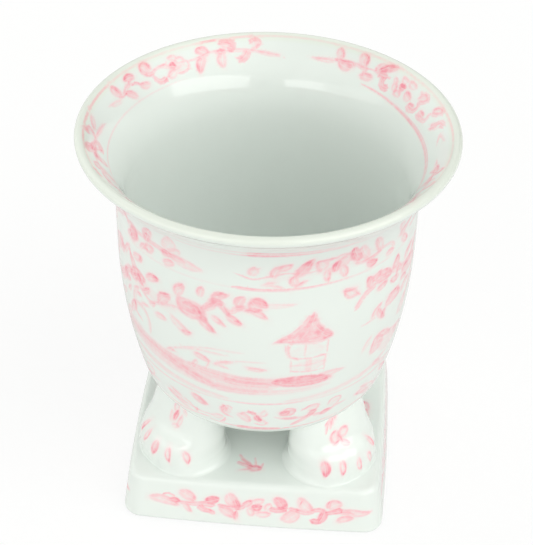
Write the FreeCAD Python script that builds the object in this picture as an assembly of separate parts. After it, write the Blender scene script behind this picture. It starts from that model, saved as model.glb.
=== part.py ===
"""Footed planter: a flared porcelain urn on four lion-paw feet and a square plinth.

Every piece is cast by itself, seated on the next with clay slip and fired under one glaze.
Millimetres, +Z up, the front towards -Y, the origin under the middle of the plinth.
"""
import FreeCAD
import Part
import os
from math import atan2, cos, pi, radians, sin, sqrt

# Plinth
plinth_height = 34.0
plinth_base_side = 174.0
plinth_deck_side = 165.0
plinth_corner_radius = 13.0
plinth_side_bow = 1.6
plinth_top_round = 4.5
plinth_base_round = 2.4
plinth_wall = 7.0
plinth_deck_thickness = 7.0
cavity_corner_radius = 6.0

# Bowl, with heights counted from its underside
bowl_height = 186.3
rim_radius = 114.5
lip_radius = 3.1
flare_angle = radians(52.0)
neck_radius = 92.5
belly_top_height = 110.3
belly_radius = 355.0
heel_radius = 24.0
bowl_wall = 5.8

# Paw feet, on the plinth's diagonals: widths across, depths along and setbacks behind the toe tips
foot_height = 33.7
toe_inset = 21.4
sole_half_width = 31.8
sole_depth = 55.0
cove_half_width = 30.0
cove_depth = 53.6
cove_height = 2.6
toe_half_width = 28.8
toe_depth = 53.0
toe_height = 9.0
instep_half_width = 28.6
instep_depth = 47.0
instep_setback = 4.2
instep_height = 20.0
fold_half_width = 27.6
fold_depth = 41.0
fold_setback = 9.4
fold_height = 25.5
ankle_half_width = 26.6
ankle_depth = 34.0
ankle_setback = 15.0
ankle_height = 36.0
shank_half_width = 23.5
shank_depth = 26.0
shank_setback = 21.5
shank_rise = 18.3
paw_squareness = 2.2
paw_outline_points = 64

# Toes: soft swells round the outward side of the paw, strongest at the toe level
toe_count = 5
toe_spacing = radians(22.5)
sole_toe_relief = 0.15
cove_toe_relief = 0.35
toe_relief = 0.5
instep_toe_relief = 0.2

# Slip joint between the curved underside of the bowl and each foot
luting_gap = 0.3

deck_height = plinth_height
bowl_bottom = deck_height + foot_height
rim_height = bowl_bottom + bowl_height
toe_reach = sqrt(2) * plinth_deck_side / 2 - toe_inset

# Tangent arcs of the bowl's upright profile, as centres in radius and height
lip_centre = (rim_radius - lip_radius, rim_height - lip_radius)
neck_middle_radius = neck_radius - bowl_wall / 2
flare_radius = (lip_centre[0] - neck_middle_radius) / (1 - cos(flare_angle))
neck_top = lip_centre[1] - flare_radius * sin(flare_angle)
flare_centre = (neck_middle_radius + flare_radius, neck_top)
belly_centre = (neck_radius - belly_radius, bowl_bottom + belly_top_height)
heel_drop = bowl_bottom + heel_radius - belly_centre[1]
heel_run = sqrt((belly_radius - heel_radius) ** 2 - heel_drop ** 2)
heel_centre = (belly_centre[0] + heel_run, belly_centre[1] + heel_drop)
heel_end_angle = atan2(heel_drop, heel_run)


def profile_point(centre, radius, angle):
    """Return a point of a profile arc, at an angle from level, in the plane through the axis."""
    return FreeCAD.Vector(centre[0] + radius * cos(angle), 0, centre[1] + radius * sin(angle))


def profile_arc(centre, radius, start, end):
    """Return an arc of the bowl's profile between two angles."""
    first = profile_point(centre, radius, start)
    middle = profile_point(centre, radius, (start + end) / 2)
    last = profile_point(centre, radius, end)
    return Part.Arc(first, middle, last).toShape()


def line(first, last):
    """Return a straight edge."""
    return Part.LineSegment(first, last).toShape()


def lathe(edges):
    """Turn an outline in the plane through the axis, closed along the axis, into a solid."""
    first = edges[0].Vertexes[0].Point
    last = edges[-1].Vertexes[-1].Point
    wire = Part.Wire(Part.__sortEdges__(edges + [line(last, first)]))
    return Part.Face(wire).revolve(FreeCAD.Vector(0, 0, 0), FreeCAD.Vector(0, 0, 1), 360)


def profile_edges(inset):
    """Return the profile from the axis through heel, belly, neck and collar, set in by inset."""
    underside_end = profile_point(heel_centre, heel_radius - inset, -pi / 2)
    neck_start = profile_point(belly_centre, belly_radius - inset, 0)
    neck_end = FreeCAD.Vector(neck_radius - inset, 0, neck_top)
    collar_radius = flare_radius - bowl_wall / 2 + inset
    return [
        line(FreeCAD.Vector(0, 0, underside_end.z), underside_end),
        profile_arc(heel_centre, heel_radius - inset, -pi / 2, heel_end_angle),
        profile_arc(belly_centre, belly_radius - inset, heel_end_angle, 0),
        line(neck_start, neck_end),
        profile_arc(flare_centre, collar_radius, pi, pi - flare_angle),
    ]


def make_bowl():
    """Turn the urn: heel, belly, neck and flared collar of one wall, and a rolled lip on its edge."""
    outside = profile_edges(0)
    inside = profile_edges(bowl_wall)
    outer_tip = outside[-1].Vertexes[-1].Point
    inner_tip = inside[-1].Vertexes[-1].Point
    floor_middle = inside[0].Vertexes[0].Point
    underside_middle = outside[0].Vertexes[0].Point
    outline = outside + [line(outer_tip, inner_tip)] + inside + [line(floor_middle, underside_middle)]
    wire = Part.Wire(Part.__sortEdges__(outline))
    wall = Part.Face(wire).revolve(FreeCAD.Vector(0, 0, 0), FreeCAD.Vector(0, 0, 1), 360)
    lip = Part.makeTorus(lip_centre[0], lip_radius, FreeCAD.Vector(0, 0, lip_centre[1]))
    return wall.fuse(lip).removeSplitter()


def bowl_seat():
    """Return the filled outer form of the bowl, grown by the slip joint, that the feet are cut to."""
    edges = profile_edges(-luting_gap)
    tip = edges[-1].Vertexes[-1].Point
    return lathe(edges + [line(tip, FreeCAD.Vector(0, 0, tip.z))])


def toe_swell(angle, relief):
    """Return how far the toes swell the paw's outline at an angle from its outward diagonal."""
    spread = toe_spacing * toe_count / 2
    if abs(angle) > spread:
        return -relief
    return relief * cos(2 * pi * angle / toe_spacing)


def paw_section(height, front, depth, half_width, relief):
    """Return one level outline of a paw on its diagonal, a soft oval that the toes swell by a relief."""
    middle = front - depth / 2
    points = []
    for index in range(paw_outline_points):
        turn = 2 * pi * index / paw_outline_points
        radial = abs(cos(turn) / (depth / 2)) ** paw_squareness
        tangential = abs(sin(turn) / half_width) ** paw_squareness
        reach = (radial + tangential) ** (-1 / paw_squareness)
        bearing = (turn + pi) % (2 * pi) - pi
        reach += toe_swell(bearing, relief)
        outward = middle + reach * cos(turn)
        across = reach * sin(turn)
        points.append(FreeCAD.Vector((outward - across) / sqrt(2), (outward + across) / sqrt(2), height))
    curve = Part.BSplineCurve()
    knots = [index / paw_outline_points for index in range(paw_outline_points + 1)]
    curve.interpolate(Points=points, PeriodicFlag=True, Parameters=knots)
    return Part.Wire(curve.toShape())


def make_paw():
    """Loft one paw on the diagonal between +X and +Y, and cut its top to the bowl's underside."""
    stations = [
        (0, 0, sole_depth, sole_half_width, sole_toe_relief),
        (cove_height, 0, cove_depth, cove_half_width, cove_toe_relief),
        (toe_height, 0, toe_depth, toe_half_width, toe_relief),
        (instep_height, instep_setback, instep_depth, instep_half_width, instep_toe_relief),
        (fold_height, fold_setback, fold_depth, fold_half_width, 0),
        (ankle_height, ankle_setback, ankle_depth, ankle_half_width, 0),
        (foot_height + shank_rise, shank_setback, shank_depth, shank_half_width, 0),
    ]
    sections = []
    for height, setback, depth, half_width, relief in stations:
        front = toe_reach - setback
        sections.append(paw_section(deck_height + height, front, depth, half_width, relief))
    return Part.makeLoft(sections, True).cut(bowl_seat())


def plinth_outline(half_side, corner_radius, height):
    """Return a level square outline with bowed sides that run smoothly into round corners."""
    chord = half_side - corner_radius
    bow_radius = (chord ** 2 + plinth_side_bow ** 2) / (2 * plinth_side_bow)
    back = half_side - bow_radius
    corner = (back + sqrt(2 * (bow_radius - corner_radius) ** 2 - back ** 2)) / 2
    tangent = atan2(corner, corner - back)
    edges = []
    for quarter in range(4):
        turn = quarter * pi / 2
        side_centre = (back * cos(turn), back * sin(turn))
        corner_centre = (corner * sqrt(2) * cos(turn + pi / 4), corner * sqrt(2) * sin(turn + pi / 4))
        edges.append(level_arc(side_centre, bow_radius, turn - tangent, turn + tangent, height))
        edges.append(level_arc(corner_centre, corner_radius, turn + tangent, turn + pi / 2 - tangent, height))
    return Part.Wire(edges)


def level_arc(centre, radius, start, end, height):
    """Return a level arc between two angles from +X."""
    angles = (start, (start + end) / 2, end)
    points = [FreeCAD.Vector(centre[0] + radius * cos(a), centre[1] + radius * sin(a), height) for a in angles]
    return Part.Arc(*points).toShape()


def edges_at(shape, height):
    """Return the edges of a shape that lie level at a height."""
    tolerance = 1e-6
    return [e for e in shape.Edges
            if abs(e.BoundBox.ZMin - height) < tolerance and abs(e.BoundBox.ZMax - height) < tolerance]


def make_plinth():
    """Loft the tapered square plinth, round its edges and hollow it from below."""
    base = plinth_outline(plinth_base_side / 2, plinth_corner_radius, 0)
    deck = plinth_outline(plinth_deck_side / 2, plinth_corner_radius, plinth_height)
    block = Part.makeLoft([base, deck], True, True)
    block = block.makeFillet(plinth_top_round, edges_at(block, plinth_height))
    block = block.makeFillet(plinth_base_round, edges_at(block, 0))
    cavity_height = plinth_height - plinth_deck_thickness
    taper = (plinth_base_side - plinth_deck_side) / 2 / plinth_height
    cavity_base_half = plinth_base_side / 2 - plinth_wall
    cavity_top_half = cavity_base_half - taper * cavity_height
    mouth = plinth_outline(cavity_base_half, cavity_corner_radius, 0)
    ceiling = plinth_outline(cavity_top_half, cavity_corner_radius, cavity_height)
    return block.cut(Part.makeLoft([mouth, ceiling], True, True))


def save(name, shape):
    """Write one piece to its own file."""
    shape.exportStep("parts/" + name + ".step")
    size = shape.BoundBox
    print(name, len(shape.Solids), round(shape.Volume / 1000, 1), "cm3", shape.isValid(),
          [round(v, 2) for v in (size.XMin, size.XMax, size.YMin, size.YMax, size.ZMin, size.ZMax)])


os.makedirs("parts", exist_ok=True)
save("plinth", make_plinth())
save("bowl", make_bowl())
rear_right_paw = make_paw()
for turns, corner_name in enumerate(("rear_right", "rear_left", "front_left", "front_right")):
    paw_foot = rear_right_paw.copy()
    paw_foot.rotate(FreeCAD.Vector(0, 0, 0), FreeCAD.Vector(0, 0, 1), 90 * turns)
    save("paw_foot_" + corner_name, paw_foot)
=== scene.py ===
"""Porcelain planter: a flared urn on lion-paw feet and a square plinth, painted pink under a clear glaze."""

import logging
from dataclasses import dataclass, field, replace
from enum import Enum
from math import atan2, cos, hypot, pi, radians, sin, sqrt, tau
from typing import Sequence

import bpy
import numpy as np
from mathutils import Matrix, Vector
from mathutils.geometry import delaunay_2d_cdt


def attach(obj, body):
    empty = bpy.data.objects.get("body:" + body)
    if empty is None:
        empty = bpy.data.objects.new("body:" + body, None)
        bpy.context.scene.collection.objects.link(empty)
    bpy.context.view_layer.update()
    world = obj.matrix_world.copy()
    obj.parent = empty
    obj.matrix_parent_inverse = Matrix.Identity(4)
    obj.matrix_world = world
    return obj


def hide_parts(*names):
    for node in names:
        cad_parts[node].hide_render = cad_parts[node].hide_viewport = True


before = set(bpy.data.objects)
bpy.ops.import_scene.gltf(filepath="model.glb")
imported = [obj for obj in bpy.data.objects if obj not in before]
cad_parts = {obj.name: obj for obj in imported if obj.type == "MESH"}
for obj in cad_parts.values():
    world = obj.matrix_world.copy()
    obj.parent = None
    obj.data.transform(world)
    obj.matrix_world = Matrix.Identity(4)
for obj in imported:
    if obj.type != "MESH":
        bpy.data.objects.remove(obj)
log = logging.getLogger("planter")

MM = 0.001
PIGMENT = "pigment"
GRAIN = "grain"
BAKE_MAP = "OFBake"
BODY = "root"

Point = tuple[float, float]
Triple = tuple[float, float, float]


def smooth_step(low: float, high: float, value: np.ndarray) -> np.ndarray:
    """Return 0 below low, 1 above high and a smooth rise between."""
    share = np.clip((value - low) / (high - low), 0.0, 1.0)
    return share * share * (3.0 - 2.0 * share)


def flowing(knots: Sequence[float], values: Sequence[float], at: np.ndarray) -> np.ndarray:
    """Pass a smooth curve through a few knots.

    Args:
        knots: Rising places of the knots.
        values: The value at each knot.
        at: Where the curve is read.

    Returns:
        The curve's value at each place.
    """
    places = np.asarray(knots, float)
    heights = np.asarray(values, float)
    slopes = np.gradient(heights, places)
    index = np.clip(np.searchsorted(places, at, side="right") - 1, 0, len(places) - 2)
    run = places[index + 1] - places[index]
    share = (at - places[index]) / run
    rise = share * share * (3 - 2 * share)
    lead = share * (1 - share) ** 2 * run * slopes[index]
    trail = -share * share * (1 - share) * run * slopes[index + 1]
    return heights[index] + (heights[index + 1] - heights[index]) * rise + lead + trail


def bearing_vector(azimuth: float, elevation: float) -> Vector:
    """Return the direction at a bearing from the front, counted to the right, and a rise, both in degrees."""
    turn, rise = radians(azimuth), radians(elevation)
    return Vector((sin(turn) * cos(rise), -cos(turn) * cos(rise), sin(rise)))


def add_node(tree: bpy.types.NodeTree, kind: str, values: dict[str | int, object] | None = None,
             **settings: object) -> bpy.types.Node:
    """Add a shader node to a tree.

    Args:
        tree: The tree.
        kind: The node's type, without its usual prefix.
        values: Constant values by the name or number of the input.
        settings: The node's own settings.

    Returns:
        The node.
    """
    made = tree.nodes.new("ShaderNode" + kind)
    for name, setting in settings.items():
        setattr(made, name, setting)
    for socket, value in (values or {}).items():
        made.inputs[socket].default_value = value
    return made


@dataclass(frozen=True)
class Brush:
    """How a loaded brush leaves its pigment, in millimetres and in shares of a mark or of its load.

    Pigment runs to one side of a pressed mark, pools inside its edge and bleeds a little past it. A drawn
    stroke narrows at both ends and pools along its edges.
    """

    bow: float = 0.3
    bow_rest: float = 0.4
    narrowing: float = 0.62
    least_width: float = 0.2
    fade: Point = (-0.55, 0.6)
    run: Point = (0.45, 0.8)
    body: float = 0.8
    paling: float = 0.8
    pale_range: Point = (0.12, 0.7)
    wet: float = 0.3
    hollow_wet: float = 0.2
    pool: float = 0.3
    pool_depth: float = 0.7
    pool_spread: float = 0.9
    pool_run: float = 0.6
    halo: float = 0.2
    halo_reach: float = 1.1
    reach: float = 3.0
    soft_edge: float = 0.35
    tips: Point = (0.06, 0.1)
    least_tip: float = 0.05
    drawn_body: float = 0.88
    drawn_pool: float = 0.16
    drawn_pool_depth: float = 0.5
    drawn_pool_spread: float = 0.6
    hairs_from: float = 0.3


@dataclass(frozen=True)
class Spacing:
    """How close the vertices lie that show a mark: in rings inside its edge, and in rows beside a stroke."""

    insets: tuple[float, ...] = (-2.0, -0.6, 0.0, 0.65, 1.5, 2.6, 4.0)
    least_level: float = 0.2
    pitch: float = 1.1
    least_count: int = 12
    drawn_pitch: float = 1.6
    broad_from: float = 4.0
    broad_row: float = 0.45


BRUSH = Brush()
SPACING = Spacing()


@dataclass(frozen=True)
class Dab:
    """One press of a loaded round brush, on a canvas in millimetres.

    The mark is an oval or a drop, with pigment pooled along its edge and, where it is hollow, a pale middle.
    """

    x: float
    y: float
    turn: float
    length: float
    width: float
    load: float
    hollow: float = 0.35
    tail: float = 0.35
    lean: float = 0.15

    def placed(self, x: float, y: float, strength: float = 1.0) -> "Dab":
        """Return a copy moved by x and y, with more or less pigment where asked."""
        return replace(self, x=x + self.x, y=y + self.y, load=self.load * strength)

    def reach(self) -> tuple[float, float, float, float]:
        """Return the box that the mark lies in, as low x, low y, high x and high y."""
        far = max(self.length, self.width) / 2 + BRUSH.reach
        return self.x - far, self.y - far, self.x + far, self.y + far

    def bend(self) -> float:
        """Return how far the mark's middle is bowed, as a share of its half width; each mark has its own."""
        return BRUSH.bow * sin(1.7 * self.x + 2.3 * self.y)

    def narrowing(self, along: np.ndarray) -> np.ndarray:
        """Return how much of its width the mark has at a place along it, from -1 to 1 at its tip."""
        return np.clip(1 - self.tail * BRUSH.narrowing * (along + 1) / 2, BRUSH.least_width, 1)

    def anchors(self) -> np.ndarray:
        """Find the points on which a skin needs vertices to show the mark.

        Returns:
            Points on rings at a few distances inside and outside the mark's edge.
        """
        small = min(self.length, self.width) / 2
        count = max(SPACING.least_count, int(pi * (self.length + self.width) / 2 / SPACING.pitch))
        angle = np.arange(count) * tau / count
        rings = [np.zeros((1, 2))]
        for inset in SPACING.insets:
            level = 1 - inset / small
            if level < SPACING.least_level:
                continue
            along = level * np.cos(angle)
            across = level * np.sin(angle) * self.narrowing(along) + self.bend() * (along**2 - BRUSH.bow_rest)
            rings.append(np.stack([along * self.length / 2, across * self.width / 2], -1))
        local = np.concatenate(rings)
        c, s = cos(radians(self.turn)), sin(radians(self.turn))
        return local @ np.array([[c, s], [-s, c]]) + (self.x, self.y)

    def press(self, x: np.ndarray, y: np.ndarray) -> tuple[np.ndarray, np.ndarray]:
        """Press the brush on the canvas.

        Args:
            x: How far across the points of the canvas lie.
            y: How far up they lie.

        Returns:
            The pigment that the mark leaves at the points, and how far across the brush they lie.
        """
        c, s = cos(radians(self.turn)), sin(radians(self.turn))
        along = ((x - self.x) * c + (y - self.y) * s) / (self.length / 2)
        across = ((y - self.y) * c - (x - self.x) * s) / (self.width / 2)
        across = across - self.bend() * (np.clip(along**2, 0, 2) - BRUSH.bow_rest)
        across = across / self.narrowing(along)
        spread = np.hypot(along, across)
        depth = (1 - spread) * min(self.length, self.width) / 2
        edge = smooth_step(*BRUSH.fade, depth)
        side = np.clip(BRUSH.run[1] * across + BRUSH.run[0] * along, -1, 1)
        body = 1 - BRUSH.paling * self.hollow * smooth_step(*BRUSH.pale_range, 1 - spread)
        pool = np.exp(-((depth - BRUSH.pool_depth) / BRUSH.pool_spread) ** 2) * (1 + BRUSH.pool_run * side)
        wet = 1 + (BRUSH.wet + BRUSH.hollow_wet * self.hollow) * side
        halo = BRUSH.halo * np.exp(np.minimum(depth, 0) / BRUSH.halo_reach) * (1 - edge)
        laid = edge * (BRUSH.body * body * wet + BRUSH.pool * pool) * (1 + self.lean * along)
        return self.load * (laid + halo), across * self.width / 2


@dataclass(frozen=True)
class Sweep:
    """One drawn stroke of a brush along a few points, which tapers and fades from its start to its end."""

    points: tuple[Point, ...]
    width: float
    end_width: float
    load: float
    end_load: float
    ragged: float = 0.0

    def placed(self, x: float, y: float, strength: float = 1.0) -> "Sweep":
        """Return a copy moved by x and y, with more or less pigment where asked."""
        moved = tuple((x + px, y + py) for px, py in self.points)
        return replace(self, points=moved, load=self.load * strength, end_load=self.end_load * strength)

    def line(self, pitch: float = 2.0) -> tuple[np.ndarray, np.ndarray]:
        """Follow the stroke's middle.

        Args:
            pitch: The distance between the points.

        Returns:
            Points along the stroke's middle, and the share of its length at each.
        """
        knots = np.array(self.points, float)
        steps = np.concatenate([[0], np.cumsum(np.hypot(*np.diff(knots, axis=0).T))])
        count = max(4, int(steps[-1] / pitch) + 1)
        at = np.linspace(0, steps[-1], count)
        line = np.stack([flowing(steps, knots[:, 0], at), flowing(steps, knots[:, 1], at)], -1)
        return line, at / steps[-1]

    def reach(self) -> tuple[float, float, float, float]:
        """Find the box that the stroke lies in.

        Returns:
            The box as low x, low y, high x and high y.
        """
        far = max(self.width, self.end_width) / 2 + 2 * BRUSH.soft_edge + self.ragged
        line, _ = self.line()
        low, high = line.min(0) - far, line.max(0) + far
        return low[0], low[1], high[0], high[1]

    def half_width(self, share: np.ndarray) -> np.ndarray:
        """Return half the stroke's width at a share of its length, drawn in at both ends."""
        ends = np.clip(np.minimum(share / BRUSH.tips[0], (1 - share) / BRUSH.tips[1]), BRUSH.least_tip, 1)
        return (self.width + (self.end_width - self.width) * share) / 2 * np.sqrt(ends)

    def anchors(self) -> np.ndarray:
        """Find the points on which a skin needs vertices to show the stroke.

        Returns:
            Points along its middle and on both sides of its edges.
        """
        line, share = self.line(SPACING.drawn_pitch)
        tangent = np.gradient(line, axis=0)
        tangent /= np.maximum(np.hypot(tangent[:, 0], tangent[:, 1]), 1e-9)[:, None]
        normal = np.stack([-tangent[:, 1], tangent[:, 0]], -1)
        half = self.half_width(share)[:, None]
        rows = [line]
        for side in (-1, 1):
            rows.append(line + side * normal * (half + BRUSH.soft_edge))
            rows.append(line + side * normal * np.maximum(half - BRUSH.soft_edge, half / 2))
            if self.width > SPACING.broad_from:
                rows.append(line + side * normal * SPACING.broad_row * half)
        return np.concatenate(rows)

    def press(self, x: np.ndarray, y: np.ndarray) -> tuple[np.ndarray, np.ndarray]:
        """Draw the brush over the canvas.

        Args:
            x: How far across the points of the canvas lie.
            y: How far up they lie.

        Returns:
            The pigment that the stroke leaves at the points, and how far across the brush they lie.
        """
        line, share = self.line()
        best = np.full(x.shape, 1e9)
        along = np.zeros(x.shape)
        across = np.zeros(x.shape)
        for (ax, ay), (bx, by), low, high in zip(line[:-1], line[1:], share[:-1], share[1:]):
            run = hypot(bx - ax, by - ay)
            t = np.clip(((x - ax) * (bx - ax) + (y - ay) * (by - ay)) / run**2, 0, 1)
            gap = np.hypot(x - ax - t * (bx - ax), y - ay - t * (by - ay))
            nearer = gap < best
            side = np.sign((bx - ax) * (y - ay) - (by - ay) * (x - ax))
            best = np.where(nearer, gap, best)
            along = np.where(nearer, low + t * (high - low), along)
            across = np.where(nearer, side * gap, across)
        half = self.half_width(along)
        soft = BRUSH.soft_edge + self.ragged
        edge = smooth_step(-soft, soft, half - best)
        pool = np.exp(-((half - best - BRUSH.drawn_pool_depth) / BRUSH.drawn_pool_spread) ** 2)
        load = self.load + (self.end_load - self.load) * along
        return load * edge * (BRUSH.drawn_body + BRUSH.drawn_pool * pool), across


@dataclass(frozen=True)
class Band:
    """A ring drawn while the pot turns on the wheel, strong at some places and nearly dry between them.

    A strong place has its middle, half its run and its pigment.
    """

    y: float
    width: float
    load: float
    strong: tuple[Triple, ...] = ()
    wobble: float = 0.25
    unevenness: float = 0.35
    hold: float = 0.55
    soft: float = 0.4

    def rows(self) -> list[float]:
        """Return the heights at which a skin needs vertices to show the ring."""
        half = self.width / 2
        return [self.y + side * offset for side in (-1, 1) for offset in (0.0, half * 0.6, half, half + 0.5)]

    def pigment(self, x: np.ndarray, y: np.ndarray, period: float) -> np.ndarray:
        """Draw the ring.

        Args:
            x: How far across the points of the canvas lie.
            y: How far up they lie.
            period: The distance after which the canvas repeats.

        Returns:
            The pigment at the points.
        """
        turn = tau * x / period
        middle = self.y + self.wobble * (np.sin(3 * turn + self.y) + 0.6 * np.sin(7 * turn + 2 * self.y))
        load = self.load * (1 + self.unevenness * np.sin(5 * turn + self.y) * np.sin(2 * turn))
        for place, half_run, extra in self.strong:
            gap = np.abs((x - place + period / 2) % period - period / 2)
            load = np.maximum(load, extra * (1 - smooth_step(self.hold * half_run, half_run, gap)))
        edge = smooth_step(-self.soft, self.soft, self.width / 2 - np.abs(y - middle))
        return load * edge


Stroke = Dab | Sweep


@dataclass
class Canvas:
    """A painted stretch of one surface: its strokes and rings, in millimetres across and up.

    A canvas that runs round the pot has a period, the distance after which it repeats.
    """

    strokes: list[Stroke] = field(default_factory=list)
    bands: list[Band] = field(default_factory=list)
    period: float = 0.0

    def add(self, motif: Sequence[Stroke], x: float = 0.0, y: float = 0.0, strength: float = 1.0) -> None:
        """Paint a motif at a place, with more or less pigment where asked."""
        self.strokes.extend(stroke.placed(x, y, strength) for stroke in motif)

    def anchors(self) -> np.ndarray:
        """Return the points on which a skin needs vertices to show every stroke."""
        return np.concatenate([stroke.anchors() for stroke in self.strokes])

    def paint(self, x: np.ndarray, y: np.ndarray) -> np.ndarray:
        """Paint all rings and strokes, one over the other.

        Args:
            x: How far across the points of the canvas lie.
            y: How far up they lie.

        Returns:
            The pigment at the points, from 0 to 1, and the place across the brush, in two columns.
        """
        clear = np.ones(x.shape)
        grain = np.zeros(x.shape)
        for band in self.bands:
            clear *= 1 - np.clip(band.pigment(x, y, self.period), 0, 1)
        for stroke in self.strokes:
            low_x, low_y, high_x, high_y = stroke.reach()
            middle = (low_x + high_x) / 2
            near = x
            if self.period:
                near = middle + (x - middle + self.period / 2) % self.period - self.period / 2
            hit = np.nonzero((near > low_x) & (near < high_x) & (y > low_y) & (y < high_y))[0]
            if len(hit):
                shade, across = stroke.press(near[hit], y[hit])
                clear[hit] *= 1 - np.clip(shade, 0, 1)
                inside = shade > BRUSH.hairs_from * stroke.load
                grain[hit[inside]] = across[inside]
        return np.stack([1 - clear, grain], -1)


def stem(*points: Point, width: float = 1.3, load: float = 0.36) -> Sweep:
    """Return a thin stalk that thins and pales towards its end."""
    return Sweep(points, width, width * 0.7, load, load * 0.75)


def collar_garland() -> list[Stroke]:
    """Give the left spray inside the collar, curled leaves about a wavy stalk, counted from its open flower.

    Returns:
        The strokes.
    """
    return [
        Sweep(((-76.5, -14.2), (-69, -13), (-60, -11.4), (-49.5, -9.8), (-38.7, -9.2)),
              1.2, 3.0, 0.24, 0.3, 0.2),
        Dab(-66, -12.4, 9, 15, 3.6, 0.22, 0.1),
        Sweep(((-53.6, -10), (-58.5, -8), (-60.7, -5), (-58.5, -2.9), (-55.3, -3.4), (-54.4, -5.2)),
              1.8, 2.7, 0.32, 0.64, 0.2),
        Dab(-57, -6, 70, 7, 5, 0.2, 0.0),
        Sweep(((-53, -10.4), (-51.7, -13.6), (-48.4, -15.6), (-44.8, -14.6)), 3.8, 4.8, 0.36, 0.6, 0.2),
        Dab(-50, -13, -50, 8, 5, 0.28, 0.0),
        Sweep(((-39.4, -9), (-43, -7), (-42.7, -4.2), (-38.7, -2.8), (-35.5, -3), (-34.7, -4.6)),
              4.8, 2.0, 0.5, 0.62, 0.2),
        Dab(-39, -5.8, 20, 8, 5.4, 0.34, 0.0), Dab(-35, -9.3, 0, 7.4, 3.8, 0.72, 0.0),
        Dab(-34.6, -14.6, -86, 10, 6.8, 0.42, 0.5, 0.1), Dab(-22.5, -7.2, 25, 9, 7.2, 0.54, 0.2),
        Sweep(((-21.6, -4.4), (-19.4, -4.8), (-18.6, -7.6)), 1.6, 1.6, 0.4, 0.5),
        Dab(-19.6, -15, -62, 11.5, 7.2, 0.62, 0.2),
        Sweep(((-36, -9.4), (-28, -8.6), (-20, -10.4), (-12, -11), (-6, -10)), 2.2, 1.4, 0.36, 0.3, 0.2),
        Dab(-5.6, -9, 10, 7.6, 5, 0.36, 0.75, 0.1), Dab(-1.6, -6.4, 20, 7.4, 4.2, 0.32, 0.6, 0.1),
        Sweep(((-11, -11), (-11, -14.6), (-6, -17), (-1.4, -16.6)), 1.9, 1.7, 0.44, 0.38),
        Dab(-6, -14, 0, 9, 5, 0.14, 0.2), Dab(2.2, -15.6, -20, 8.6, 6, 0.44, 0.75, 0.1),
        Dab(6, -9.6, 20, 7, 3.6, 0.28, 0.3), Dab(0.4, -11, 20, 5.2, 4.6, 0.98, 0.0, 0.0),
        Sweep(((4, -8.6), (12, -8.8), (18, -10.4), (22, -9)), 1.6, 2.6, 0.32, 0.42, 0.2),
        Dab(19.6, -5.2, 35, 9, 7.8, 0.46, 0.6, 0.1), Dab(17.4, -5.4, 80, 5.2, 3.8, 0.62, 0.0),
        Sweep(((19, -2), (22.4, -3.4), (23.2, -6.4), (20.4, -10), (15, -11)), 1.8, 2.9, 0.42, 0.38, 0.2),
        Sweep(((16, -12), (15.8, -15), (13.5, -17.2), (9.9, -17.4), (7.6, -16.4)), 2.6, 4.2, 0.42, 0.7, 0.2),
        Dab(34.6, -5.6, 8, 9, 5.8, 0.74, 0.15),
        Sweep(((35, -7), (37, -9.4), (33, -10.4)), 2.2, 2.0, 0.46, 0.4),
        Sweep(((29.6, -12.4), (33.4, -10)), 2.1, 1.9, 0.6, 0.52), Dab(26, -14.8, 18, 9, 5.6, 0.44, 0.3),
        Dab(40.2, -15, 40, 11, 5.8, 0.52, 0.25),
        Sweep(((37, -9), (42, -10.4), (45.6, -12.6)), 2.6, 2.6, 0.42, 0.4, 0.2),
        Dab(50.2, -7.4, 70, 8.8, 7.2, 0.48, 0.5, 0.1), Dab(49.4, -8, 75, 5, 3, 0.56, 0.0),
        Sweep(((51, -10.6), (47.6, -12.4), (43, -12)), 2.6, 2.0, 0.42, 0.36, 0.2),
        Dab(57, -12.6, 12, 15, 4.4, 0.22, 0.25, 0.8),
    ]


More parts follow.
